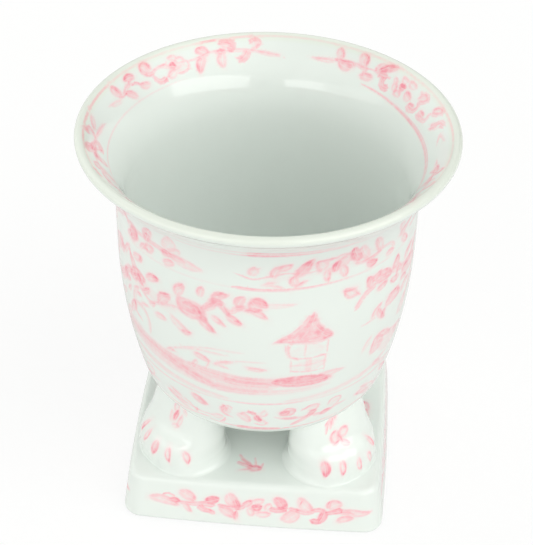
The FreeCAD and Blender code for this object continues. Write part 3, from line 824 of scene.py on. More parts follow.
def right_ankle_flower() -> list[Stroke]:
    """Give the open flower on the right ankles with short strokes over it, counted from its heart.

    Returns:
        The strokes.
    """
    return [
        Dab(-3.4, 1.4, 70, 9.4, 7, 0.5, 0.7, 0.1), Dab(3.4, 3, 20, 8.8, 7.2, 0.46, 0.75, 0.1),
        Dab(2.8, -4.6, -30, 7.6, 5.2, 0.32, 0.1), Dab(-0.2, -0.4, -60, 5.4, 3, 0.6, 0.0),
        Dab(-3.2, -2.8, 20, 5.4, 2.6, 0.54, 0.0),
        Sweep(((-6.6, 12.6), (-7.6, 9), (-9, 5.4)), 2.4, 1.4, 0.52, 0.3, 0.1),
        Sweep(((-4.4, 13.4), (-5.4, 7.6)), 2.4, 1.6, 0.48, 0.3, 0.1),
        Dab(-2.6, 12.6, 70, 6.4, 2.4, 0.46, 0.0), Dab(0.4, 15.4, 60, 5.6, 2.4, 0.5, 0.0),
        Sweep(((-8.4, 11), (-4, 14.6), (1, 16.4)), 1.6, 1.4, 0.42, 0.32),
    ]


def flare_rings() -> list[Stroke]:
    """Give the wet runs of the brush on the rings round the flare, by angle from the front and height.

    Returns:
        The strokes.
    """
    return [
        Sweep(((-3, 233.8), (6, 233.8), (26, 233.4), (60, 232.8)), 4.8, 2.0, 0.26, 0.08, 0.2),
        Sweep(((-3.4, 232), (5, 232), (18, 232.2), (40, 232)), 2.3, 1.0, 0.72, 0.1, 0.1),
        Sweep(((-2.6, 235.6), (7, 235.6), (24, 235.2)), 1.3, 0.8, 0.4, 0.12, 0.1),
        Sweep(((-12, 203.8), (0, 203), (14, 202.8), (34, 203), (60, 203.4)), 2.3, 1.2, 0.56, 0.14, 0.1),
    ]


def collar_front() -> list[Stroke]:
    """Give the loose leaves on both sides of the collar's front, counted from the front and from the lip.

    Returns:
        The strokes.
    """
    return [
        Sweep(((-132.4, -4.2), (-137, -10), (-142.6, -16.4)), 2.8, 2.2, 0.52, 0.4, 0.2),
        Dab(-129.4, -11.4, -22, 9, 5, 0.58, 0.1), Sweep(((-110, -0.8), (-99, -2.6)), 2.6, 2.2, 0.6, 0.5, 0.1),
        Dab(-104, -8.6, 6, 18, 5, 0.58, 0.1),
        Sweep(((-108.4, -13.4), (-107.6, -23)), 3.2, 2.6, 0.52, 0.4, 0.2),
        Dab(-138, -8.6, 15, 11, 5, 0.52, 0.2), Dab(-161, -6.4, -23, 12, 4.6, 0.32, 0.2),
        Dab(-92, -15, 20, 14, 4.6, 0.5, 0.1), Sweep(((-86, -5), (-72, -9)), 3.0, 2.4, 0.5, 0.4, 0.2),
        Dab(136.8, -9.9, -14, 11, 5, 0.58, 0.1),
        Sweep(((140, -16.4), (135, -11), (131, -7)), 2.6, 2.2, 0.52, 0.42, 0.1),
        Sweep(((122.4, -5), (124, -12), (126.4, -20)), 3.2, 2.6, 0.52, 0.42, 0.2),
        Sweep(((128.2, -16.2), (124, -24.6)), 2.8, 2.2, 0.46, 0.36, 0.1),
        Dab(103.4, -11.3, 22, 13, 5, 0.54, 0.1),
        Sweep(((92.2, -0.8), (79.6, -3.2)), 2.6, 2.2, 0.48, 0.36, 0.1), Dab(88, -14, 20, 13, 4.6, 0.5, 0.1),
    ]


def collar_arcs(degree: float) -> list[Stroke]:
    """Give the two long arcs drawn under the sprays inside the collar.

    Args:
        degree: The length of a degree on the canvas.

    Returns:
        The strokes.
    """
    drops = ((146.5, 20.6), (138, 21.3), (129, 22.5), (118, 23.4), (104, 23.6), (88, 23.6), (66, 23.6))
    right = tuple((angle * degree, -drop) for angle, drop in drops)
    left = tuple((angle * degree, -21.4) for angle in (-142, -124, -106, -88, -66, -40))
    return [Sweep(right, 1.0, 4.4, 0.6, 0.34, 0.2), Sweep(left, 1.2, 1.8, 0.1, 0.3, 0.2)]


WALL_RINGS = (
    Band(232.2, 1.7, 0.08, ((20, 45, 0.18),)),
    Band(235.2, 1.3, 0.08, ((15, 34, 0.2),)),
    Band(203, 1.5, 0.06, ((60, 40, 0.12),)),
    Band(109, 1.5, 0.18, ((10, 30, 0.3),)),
)
# The strong places of the ring under the lip: middle and half run in degrees from the front, and pigment.
LIP_RING_PLACES = ((-154, 5, 0.6), (-167, 7, 0.3), (-92, 24, 0.42), (100, 16, 0.24))
# The distance between the rings of vertices on each part of the bowl's outline.
ROW_PITCH = {"underside": 7.0, "heel": 2.2, "belly": 2.6, "neck": 2.6, "collar": 2.2, "lip": 0.65,
             "throat": 2.2, "inner_neck": 5.0, "inner_belly": 6.0, "inner_heel": 2.6, "floor": 8.0}


@dataclass(frozen=True)
class Claw:
    """One painted claw: its bearing from the paw's diagonal, height over the deck, size and pigment."""

    bearing: float
    height: float
    length: float
    width: float
    load: float
    lean: float
    hollow: float

    def dab(self, turn_scale: float) -> Dab:
        """Return the brush mark, round above and pointed below."""
        return Dab(radians(self.bearing) * turn_scale, self.height, self.lean - 90, self.length, self.width,
                   self.load, self.hollow, tail=0.6, lean=0.3)


LEFT_CLAWS = (
    Claw(57, 14.6, 9.8, 5.6, 0.6, 14, 0.75), Claw(31, 14.4, 10.2, 5.2, 0.6, 4, 0.75),
    Claw(6, 14.4, 10.2, 7.2, 0.66, -12, 0.3), Claw(-18, 17, 9.4, 4.6, 0.48, -10, 0.6),
    Claw(-36, 19, 9.8, 4.4, 0.64, -10, 0.2),
)
RIGHT_CLAWS = (
    Claw(-50, 13.8, 11.6, 7.6, 0.86, 8, 0.15), Claw(-26, 13.4, 10.4, 5.6, 0.6, 2, 0.65),
    Claw(2, 10.8, 9.8, 5.4, 0.56, 6, 0.75), Claw(24, 10.5, 9.4, 5.2, 0.56, 14, 0.75),
    Claw(38, 18, 9.4, 4.6, 0.56, 16, 0.5),
)


class Corner(Enum):
    """The plinth's corners, each with the paw's CAD node and its quarter turns from the first one."""

    REAR_RIGHT = ("paw_foot_rear_right", 0)
    REAR_LEFT = ("paw_foot_rear_left", 1)
    FRONT_LEFT = ("paw_foot_front_left", 2)
    FRONT_RIGHT = ("paw_foot_front_right", 3)

    @property
    def leftward(self) -> bool:
        """Return whether the paw stands on the left for someone who faces its side of the plinth."""
        return self in (Corner.FRONT_LEFT, Corner.REAR_RIGHT)


@dataclass(frozen=True)
class Profile:
    """The bowl's upright outline, from the axis under it over the lip to the axis inside, in millimetres."""

    bottom: float = 67.7
    wall: float = 5.8
    neck: float = 92.5
    neck_top: float = 206.2
    belly_centre: Point = (-262.5, 178.0)
    belly: float = 355.0
    heel_centre: Point = (57.05, 91.7)
    heel: float = 24.0
    flare_centre: Point = (146.32, 206.2)
    flare: float = 56.7
    flare_angle: float = radians(52.0)
    lip_centre: Point = (111.4, 250.9)
    lip: float = 3.1
    swell_from: float = 0.8
    seat_margin: float = 0.5
    pitch: float = 0.3

    def heel_end(self) -> float:
        """Return the angle at which the heel's arc runs into the belly's."""
        return atan2(self.heel_centre[1] - self.belly_centre[1], self.heel_centre[0] - self.belly_centre[0])

    def run(self, first: Point, last: Point) -> np.ndarray:
        """Return points along a straight part of the outline."""
        count = max(2, int(hypot(last[0] - first[0], last[1] - first[1]) / self.pitch))
        return np.linspace(first, last, count)

    def bend(self, centre: Point, radius: float, start: float, end: float, grow: float = 0.0) -> np.ndarray:
        """Follow an arc of the outline.

        Args:
            centre: The arc's centre.
            radius: Its radius.
            start: The angle at which it starts.
            end: The angle at which it ends.
            grow: How much the radius grows towards the end.

        Returns:
            Points along the arc.
        """
        share = np.linspace(0, 1, max(2, int(abs(end - start) * radius / self.pitch)))
        angle = start + (end - start) * share
        reach = radius + grow * smooth_step(self.swell_from, 1.0, share)
        return np.stack([centre[0] + reach * np.cos(angle), centre[1] + reach * np.sin(angle)], -1)

    def parts(self) -> dict[str, np.ndarray]:
        """Draw the whole outline.

        Returns:
            The points of its parts by name, in order.
        """
        half = self.wall / 2
        swell = self.lip - half
        end = self.heel_end()
        slope = pi - self.flare_angle
        inner = self.neck - self.wall
        floor = self.bottom + self.wall
        return {
            "underside": self.run((0, self.bottom), (self.heel_centre[0], self.bottom)),
            "heel": self.bend(self.heel_centre, self.heel, -pi / 2, end),
            "belly": self.bend(self.belly_centre, self.belly, end, 0),
            "neck": self.run((self.neck, self.belly_centre[1]), (self.neck, self.neck_top)),
            "collar": self.bend(self.flare_centre, self.flare - half, pi, slope, -swell),
            "lip": self.bend(self.lip_centre, self.lip, -self.flare_angle, slope),
            "throat": self.bend(self.flare_centre, self.flare + half, pi, slope, swell)[::-1],
            "inner_neck": self.run((inner, self.neck_top), (inner, self.belly_centre[1])),
            "inner_belly": self.bend(self.belly_centre, self.belly - self.wall, 0, end),
            "inner_heel": self.bend(self.heel_centre, self.heel - self.wall, end, -pi / 2),
            "floor": self.run((self.heel_centre[0], floor), (0, floor)),
        }

    def seat(self, radius: np.ndarray) -> np.ndarray:
        """Return the height of the bowl's underside at a radius."""
        gap = np.clip(radius - self.heel_centre[0], 0, self.heel - self.seat_margin)
        return self.heel_centre[1] - np.sqrt(self.heel**2 - gap**2)


@dataclass
class Outline:
    """The bowl's outline read by arc length: radius, height and the outward normal at each place."""

    profile: Profile
    lip_overlap: float = 4.0
    starts: dict[str, float] = field(default_factory=dict)

    def __post_init__(self) -> None:
        """Join the parts, and keep the arc length at which each of them starts."""
        points: list[np.ndarray] = []
        gone = 0.0
        for name, part in self.profile.parts().items():
            self.starts[name] = gone
            gone += float(np.hypot(*np.diff(part, axis=0).T).sum())
            points.append(part[1:] if points else part)
        chain = np.concatenate(points)
        steps = np.hypot(*np.diff(chain, axis=0).T)
        keep = np.concatenate([[True], steps > 1e-6])
        self.chain = chain[keep]
        self.reach = np.concatenate([[0], np.cumsum(np.hypot(*np.diff(self.chain, axis=0).T))])
        self.length = float(self.reach[-1])
        self.starts["end"] = self.length
        slope = np.gradient(self.chain, self.reach, axis=0)
        self.normal = np.stack([slope[:, 1], -slope[:, 0]], -1)
        self.normal[[0, -1]] = ((0, -1), (0, 1))

    def at(self, place: np.ndarray) -> np.ndarray:
        """Return radius, height and the normal's two parts at places along the outline."""
        columns = [self.chain[:, 0], self.chain[:, 1], self.normal[:, 0], self.normal[:, 1]]
        return np.stack([np.interp(place, self.reach, column) for column in columns], -1)

    def place_outside(self, height: np.ndarray) -> np.ndarray:
        """Return the place along the outline that lies outside the bowl at a height."""
        wall = (self.reach >= self.starts["heel"]) & (self.reach <= self.starts["lip"] + self.lip_overlap)
        return np.interp(height, self.chain[wall, 1], self.reach[wall])


@dataclass(frozen=True)
class Glaze:
    """A clear gloss glaze over white porcelain, with pink painting under it.

    The pigment is uneven in clouds and along the hairs of the brush, and the lip is a little creamier.
    """

    name: str = "painted_glaze"
    white: Triple = (0.861, 0.906, 0.878)
    blush: Triple = (0.939, 0.740, 0.756)
    pink: Triple = (0.959, 0.560, 0.610)
    rose: Triple = (0.954, 0.395, 0.467)
    deep: Triple = (0.939, 0.315, 0.394)
    shares: Triple = (0.2, 0.53, 0.83)
    cream: Triple = (0.986, 0.981, 0.938)
    lip_rise: Point = (0.2495, 0.2525)
    noise_range: Point = (0.3, 0.7)
    cloud_scale: float = 330.0
    cloud_detail: float = 3.0
    cloud_spread: Point = (0.56, 1.09)
    hair_scale: float = 0.9
    hair_detail: float = 2.0
    hair_spread: Point = (0.62, 1.28)
    roughness: float = 0.05
    bending: float = 1.5
    ripple: float = 0.05
    ripple_scale: float = 38.0
    ripple_detail: float = 1.0
    ripple_depth: float = 0.004

    def mottle(self, tree: bpy.types.NodeTree, scale: float, detail: float, spread: Point,
               dimensions: str = "3D") -> tuple[bpy.types.Node, bpy.types.NodeSocket]:
        """Add a noise whose usual values are spread over a range.

        Args:
            tree: The tree.
            scale: The noise's scale.
            detail: Its detail.
            spread: The range's low and high end.
            dimensions: The noise's dimensions.

        Returns:
            The noise, and the socket that gives the spread value.
        """
        noise = add_node(tree, "TexNoise", {"Scale": scale, "Detail": detail}, noise_dimensions=dimensions)
        ends = dict(zip(("From Min", "From Max", "To Min", "To Max"), (*self.noise_range, *spread)))
        stretched = add_node(tree, "MapRange", ends)
        tree.links.new(noise.outputs["Fac"], stretched.inputs["Value"])
        return noise, stretched.outputs["Result"]

    def tint_group(self) -> bpy.types.NodeTree:
        """Make the node group that turns pigment into the colour under the glaze.

        Returns:
            The group, with the pigment, the place across the brush and the point as inputs, and the colour.
        """
        tree = bpy.data.node_groups.new("pigment_tint", "ShaderNodeTree")
        for name, kind in (("Pigment", "Float"), ("Grain", "Float"), ("Point", "Vector")):
            tree.interface.new_socket(name, in_out="INPUT", socket_type="NodeSocket" + kind)
        tree.interface.new_socket("Color", in_out="OUTPUT", socket_type="NodeSocketColor")
        links = tree.links
        source = tree.nodes.new("NodeGroupInput")
        result = tree.nodes.new("NodeGroupOutput")
        cloud, uneven = self.mottle(tree, self.cloud_scale, self.cloud_detail, self.cloud_spread)
        hairs, streak = self.mottle(tree, self.hair_scale, self.hair_detail, self.hair_spread, "1D")
        clouded = add_node(tree, "Math", operation="MULTIPLY")
        combed = add_node(tree, "Math", operation="MULTIPLY")
        ramp = add_node(tree, "ValToRGB")
        stops = ramp.color_ramp.elements
        stops[0].position, stops[0].color = 0.0, (*self.white, 1)
        stops[1].position, stops[1].color = 1.0, (*self.deep, 1)
        for place, colour in zip(self.shares, (self.blush, self.pink, self.rose)):
            stops.new(place).color = (*colour, 1)
        height = add_node(tree, "SeparateXYZ")
        rise = {"From Min": self.lip_rise[0], "From Max": self.lip_rise[1]}
        lip = add_node(tree, "MapRange", rise, interpolation_type="SMOOTHSTEP")
        warm = add_node(tree, "Mix", {"B": (*self.cream, 1)}, data_type="RGBA", blend_type="MULTIPLY")
        links.new(source.outputs["Point"], cloud.inputs["Vector"])
        links.new(source.outputs["Pigment"], clouded.inputs[0])
        links.new(uneven, clouded.inputs[1])
        links.new(source.outputs["Grain"], hairs.inputs["W"])
        links.new(clouded.outputs["Value"], combed.inputs[0])
        links.new(streak, combed.inputs[1])
        links.new(combed.outputs["Value"], ramp.inputs["Fac"])
        links.new(source.outputs["Point"], height.inputs["Vector"])
        links.new(height.outputs["Z"], lip.inputs["Value"])
        links.new(lip.outputs["Result"], warm.inputs["Factor"])
        links.new(ramp.outputs["Color"], warm.inputs["A"])
        links.new(warm.outputs["Result"], result.inputs["Color"])
        return tree

    def material(self) -> bpy.types.Material:
        """Make the material that all pieces share.

        Returns:
            The material, which reads the two painting attributes of a piece and its object coordinates.
        """
        made = bpy.data.materials.new(self.name)
        made.use_nodes = True
        tree = made.node_tree
        links = tree.links
        shader = tree.nodes["Principled BSDF"]
        shader.inputs["Roughness"].default_value = self.roughness
        shader.inputs["IOR"].default_value = self.bending
        paint = add_node(tree, "Attribute", attribute_name=PIGMENT)
        brush = add_node(tree, "Attribute", attribute_name=GRAIN)
        where = add_node(tree, "TexCoord")
        tint = add_node(tree, "Group", node_tree=self.tint_group())
        swell = add_node(tree, "TexNoise", {"Scale": self.ripple_scale, "Detail": self.ripple_detail})
        bump = add_node(tree, "Bump", {"Strength": self.ripple, "Distance": self.ripple_depth})
        links.new(paint.outputs["Fac"], tint.inputs["Pigment"])
        links.new(brush.outputs["Fac"], tint.inputs["Grain"])
        links.new(where.outputs["Object"], tint.inputs["Point"])
        links.new(tint.outputs["Color"], shader.inputs["Base Color"])
        links.new(where.outputs["Object"], swell.inputs["Vector"])
        links.new(swell.outputs["Fac"], bump.inputs["Height"])
        links.new(bump.outputs["Normal"], shader.inputs["Normal"])
        return made


def dress(piece: bpy.types.Object, material: bpy.types.Material, paint: np.ndarray) -> None:
    """Give a finished piece its material and its painting.

    Args:
        piece: The piece, with its mesh in place.
        material: The glaze.
        paint: The pigment at each of the piece's vertices, and the place across the brush in millimetres.
    """
    piece.data.materials.clear()
    piece.data.materials.append(material)
    for name, column in ((PIGMENT, 0), (GRAIN, 1)):
        layer = piece.data.attributes.new(name, "FLOAT", "POINT")
        layer.data.foreach_set("value", paint[:, column].astype(np.float32))


def settle(piece: bpy.types.Object, node: str) -> None:
    """Let a piece ride with the planter and stand for its CAD node.

    Args:
        piece: The finished piece.
        node: The CAD node.
    """
    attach(piece, BODY)
    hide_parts(node)


def coordinates(mesh: bpy.types.Mesh) -> np.ndarray:
    """Read a mesh's vertices.

    Args:
        mesh: The mesh.

    Returns:
        Their coordinates in millimetres, one vertex to a row.
    """
    flat = np.empty(len(mesh.vertices) * 3)
    mesh.vertices.foreach_get("co", flat)
    return flat.reshape(-1, 3) / MM


@dataclass
class PaintedBowl:
    """The urn: one closed skin, with vertices laid along the outline of every brush mark on it.

    A plain lathe would need millions of faces to show the marks crisply, so the skin is a triangulation of
    the unrolled wall with the marks' own points in it, which is then rolled up.
    """

    profile: Profile
    columns: int = 180
    roll: float = 92.0
    collar_scale: float = 103.132
    finest: float = 0.7
    weld: float = 1e-3
    seam_margin: float = 0.6
    lip_bare: float = 5.0
    frieze_right: float = 46.0
    frieze_left: float = -54.0
    frieze_height: float = 213.0
    base_place: Point = (2.0, 95.0)
    spray_bearings: tuple[float, ...] = (-138.5, 129.5, -52.0, 44.0)

    def __post_init__(self) -> None:
        """Read the outline and paint both canvases."""
        self.outline = Outline(self.profile)
        self.period = tau * self.roll
        self.outside = self.paint_outside()
        self.inside = self.paint_collar()

    def paint_outside(self) -> Canvas:
        """Paint the outside, front and back alike, with four garlands round the base.

        Returns:
            The canvas, across by the angle from the front and up by the height over the floor.
        """
        canvas = Canvas(period=self.period)
        sides = (0.0, self.period / 2)
        for shift in sides:
            for scenery in (shore(), pavilion(), left_branch(), right_branch()):
                canvas.add(scenery, shift)
            canvas.add(frieze_garland(), self.frieze_right + shift, self.frieze_height)
            canvas.add(frieze_garland_left(), self.frieze_left + shift, self.frieze_height)
            across, height = self.base_place
            for quarter in (0, 1):
                canvas.add(base_garland(), across + shift + quarter * self.period / 4, height)
        for shift in sides:
            canvas.add(flare_rings(), shift)
        canvas.bands = list(WALL_RINGS)
        return canvas

    def paint_collar(self) -> Canvas:
        """Paint the collar's inside.

        Returns:
            The canvas, across by the angle from the front and down by the arc length from the lip.
        """
        canvas = Canvas(period=tau * self.collar_scale)
        degree = canvas.period / 360
        for bearing, spray in zip(self.spray_bearings, 2 * (collar_garland(), collar_garland_right())):
            canvas.add(spray, bearing * degree)
        canvas.add(collar_front())
        canvas.add(collar_arcs(degree))
        strong = tuple((place * degree, run * degree, load) for place, run, load in LIP_RING_PLACES)
        canvas.bands = [Band(-1.0, 1.6, 0.13, strong)]
        return canvas

    def rows(self) -> np.ndarray:
        """Divide the outline.

        Returns:
            The places along it at which the skin has a full ring of vertices.
        """
        starts = self.outline.starts
        names = list(starts)
        places = [np.array([self.outline.length])]
        for name, following in zip(names[:-1], names[1:]):
            count = max(2, round((starts[following] - starts[name]) / ROW_PITCH[name]))
            places.append(np.linspace(starts[name], starts[following], count, endpoint=False))
        for band in self.outside.bands:
            places.append(self.outline.place_outside(np.array(band.rows())))
        for band in self.inside.bands:
            places.append(starts["throat"] - np.array(band.rows()))
        return np.unique(np.round(np.concatenate(places), 2))

    def lattice(self) -> np.ndarray:
        """Spread the skin's vertices over the unrolled wall.

        Returns:
            The points of the full rings, and the points that the brush marks need, thinned where they crowd.
        """
        across = np.linspace(-self.period / 2, self.period / 2, self.columns + 1)
        grid = np.stack(np.meshgrid(across, self.rows()), -1).reshape(-1, 2)
        outer = self.outside.anchors()
        outer[:, 1] = self.outline.place_outside(outer[:, 1])
        inner = self.inside.anchors()
        inner[:, 0] *= self.roll / self.collar_scale
        inner[:, 1] = self.outline.starts["throat"] - inner[:, 1]
        marks = np.concatenate([outer, inner])
        marks[:, 0] = (marks[:, 0] + self.period / 2) % self.period - self.period / 2
        marks = marks[np.abs(marks[:, 0]) < self.period / 2 - self.seam_margin]
        _, apart = np.unique(np.floor(marks / self.finest), axis=0, return_index=True)
        return np.concatenate([grid, marks[np.sort(apart)]])

    def paint(self, flat: np.ndarray) -> np.ndarray:
        """Paint both canvases on the skin.

        Args:
            flat: Points of the unrolled skin.

        Returns:
            The pigment at the points and the place across the brush, in two columns.
        """
        starts = self.outline.starts
        height = self.outline.at(flat[:, 1])[:, 1]
        paint = np.zeros((len(flat), 2))
        outer = (flat[:, 1] > starts["heel"]) & (flat[:, 1] < starts["lip"])
        paint[outer] = self.outside.paint(flat[outer, 0], height[outer])
        inner = (flat[:, 1] > starts["lip"] + self.lip_bare) & (flat[:, 1] < starts["inner_belly"])
        across = flat[inner, 0] * self.collar_scale / self.roll
        paint[inner] = self.inside.paint(across, starts["throat"] - flat[inner, 1])
        return paint

    def build(self, material: bpy.types.Material) -> bpy.types.Object:
        """Triangulate the unrolled wall, roll it up and paint it.

        Args:
            material: The glaze.

        Returns:
            The finished bowl.
        """
        spread = [Vector(point) for point in self.lattice()]
        points, _, triangles, _, _, _ = delaunay_2d_cdt(spread, [], [], 0, self.weld)
        flat = np.array([tuple(point) for point in points])
        faces = np.array(triangles)
        a, b, c = flat[faces[:, 0]], flat[faces[:, 1]], flat[faces[:, 2]]
        area = (b[:, 0] - a[:, 0]) * (c[:, 1] - a[:, 1]) - (b[:, 1] - a[:, 1]) * (c[:, 0] - a[:, 0])
        faces[area < 0] = faces[area < 0][:, ::-1]
        where = self.outline.at(flat[:, 1])
        turn = flat[:, 0] / self.roll
        solid = np.stack([where[:, 0] * np.sin(turn), -where[:, 0] * np.cos(turn), where[:, 1]], -1)
        normal = np.stack([where[:, 2] * np.sin(turn), -where[:, 2] * np.cos(turn), where[:, 3]], -1)
        _, first, joined = np.unique(np.round(solid, 3), axis=0, return_index=True, return_inverse=True)
        welded = joined.reshape(-1)[faces]
        whole = (welded != np.roll(welded, 1, axis=1)).all(axis=1)
        mesh = bpy.data.meshes.new("bowl_skin")
        mesh.from_pydata((solid[first] * MM).tolist(), [], welded[whole].tolist())
        mesh.validate()
        mesh.shade_smooth()
        mesh.normals_split_custom_set_from_vertices(normal[first].tolist())
        chart = mesh.uv_layers.new(name=BAKE_MAP)
        spots = flat[faces[whole].reshape(-1)]
        uv = np.stack([spots[:, 0] / self.period + 0.5, spots[:, 1] / self.outline.length], -1)
        chart.data.foreach_set("uv", uv.astype(np.float32).reshape(-1))
        piece = bpy.data.objects.new("painted_bowl", mesh)
        bpy.context.scene.collection.objects.link(piece)
        dress(piece, material, self.paint(flat[first]))
        settle(piece, "bowl")
        return piece


@dataclass
class RingStack:
    """A closed form raised ring by ring from a disc, by extruding its rim and setting each ring's outline.

    Attributes:
        name: The piece's name.
        rings: Points in millimetres, by ring, column and axis, from the lowest part of the skin to its end.
        crease: The angle in degrees from which an edge is sharp.
        strip: The height on the map of the strip that holds the two end discs.
        disc: The radius of the end discs on the map.
    """

    name: str
    rings: np.ndarray
    crease: float = 50.0
    strip: float = 0.1
    disc: float = 0.04

    def build(self) -> bpy.types.Object:
        """Extrude a disc once for each ring, then move every vertex to its place.

        Returns:
            The closed piece, at the origin.
        """
        levels, columns, _ = self.rings.shape
        bpy.ops.object.select_all(action="DESELECT")
        bpy.ops.mesh.primitive_circle_add(vertices=columns, radius=1.0, fill_type="NGON")
        piece = bpy.context.object
        piece.name = self.name
        bpy.ops.object.mode_set(mode="EDIT")
        bpy.ops.mesh.select_all(action="SELECT")
        for _ in range(levels - 1):
            bpy.ops.mesh.extrude_region_move(TRANSFORM_OT_translate={"value": (0, 0, 1)})
        bpy.ops.object.mode_set(mode="OBJECT")
        raw = coordinates(piece.data) * MM
        level = np.round(raw[:, 2]).astype(int)
        column = np.round(np.arctan2(raw[:, 1], raw[:, 0]) / tau * columns).astype(int) % columns
        self.chart(piece.data, level, column)
        piece.data.vertices.foreach_set("co", (self.rings[level, column] * MM).reshape(-1))
        piece.data.update()
        bpy.ops.object.mode_set(mode="EDIT")
        bpy.ops.mesh.select_all(action="SELECT")
        bpy.ops.mesh.normals_make_consistent(inside=False)
        bpy.ops.object.mode_set(mode="OBJECT")
        bpy.ops.object.shade_smooth_by_angle(angle=radians(self.crease))
        return piece

    def chart(self, mesh: bpy.types.Mesh, level: np.ndarray, column: np.ndarray) -> None:
        """Lay the skin out by column and ring on a map of its own, with the two end discs in a strip below.

        Args:
            mesh: The piece's mesh.
            level: The ring of each vertex.
            column: The column of each vertex.
        """
        levels, columns, _ = self.rings.shape
        if BAKE_MAP not in mesh.uv_layers:
            mesh.uv_layers.new(name=BAKE_MAP)
        for spare in [other for other in mesh.uv_layers if other.name != BAKE_MAP]:
            mesh.uv_layers.remove(spare)
        layer = mesh.uv_layers[BAKE_MAP]
        for face in mesh.polygons:
            vertices = [mesh.loops[index].vertex_index for index in face.loop_indices]
            steps = column[vertices]
            if len(vertices) > 4:
                middle = self.strip + 2 * self.strip * float(level[vertices[0]] > 0)
                for index, step in zip(face.loop_indices, steps):
                    turn = tau * step / columns
                    across, up = self.disc * cos(turn), self.disc * sin(turn)
                    layer.data[index].uv = (middle + across, self.strip / 2 + up)
                continue
            over = steps.max() - steps.min() > columns / 2
            for index, step, corner in zip(face.loop_indices, steps, vertices):
                along = step + columns if over and step == 0 else step
                up = self.strip + (1 - self.strip) * level[corner] / (levels - 1)
                layer.data[index].uv = (along / columns, up)


def refine(piece: bpy.types.Object, contrast: np.ndarray, least: float) -> None:
    """Halve the faces across which the painting changes.

    Args:
        piece: The piece.
        contrast: The pigment at each vertex.
        least: The change of pigment over a face from which it is halved.
    """
    mesh = piece.data
    bpy.ops.object.select_all(action="DESELECT")
    piece.select_set(True)
    bpy.context.view_layer.objects.active = piece
    bpy.ops.object.mode_set(mode="EDIT")
    bpy.ops.mesh.select_mode(type="FACE")
    bpy.ops.mesh.select_all(action="DESELECT")
    bpy.ops.object.mode_set(mode="OBJECT")
    for face in mesh.polygons:
        shades = contrast[list(face.vertices)]
        face.select = bool(len(shades) == 4 and shades.max() - shades.min() > least)
    bpy.ops.object.mode_set(mode="EDIT")
    bpy.ops.mesh.subdivide(number_cuts=1)
    bpy.ops.object.mode_set(mode="OBJECT")


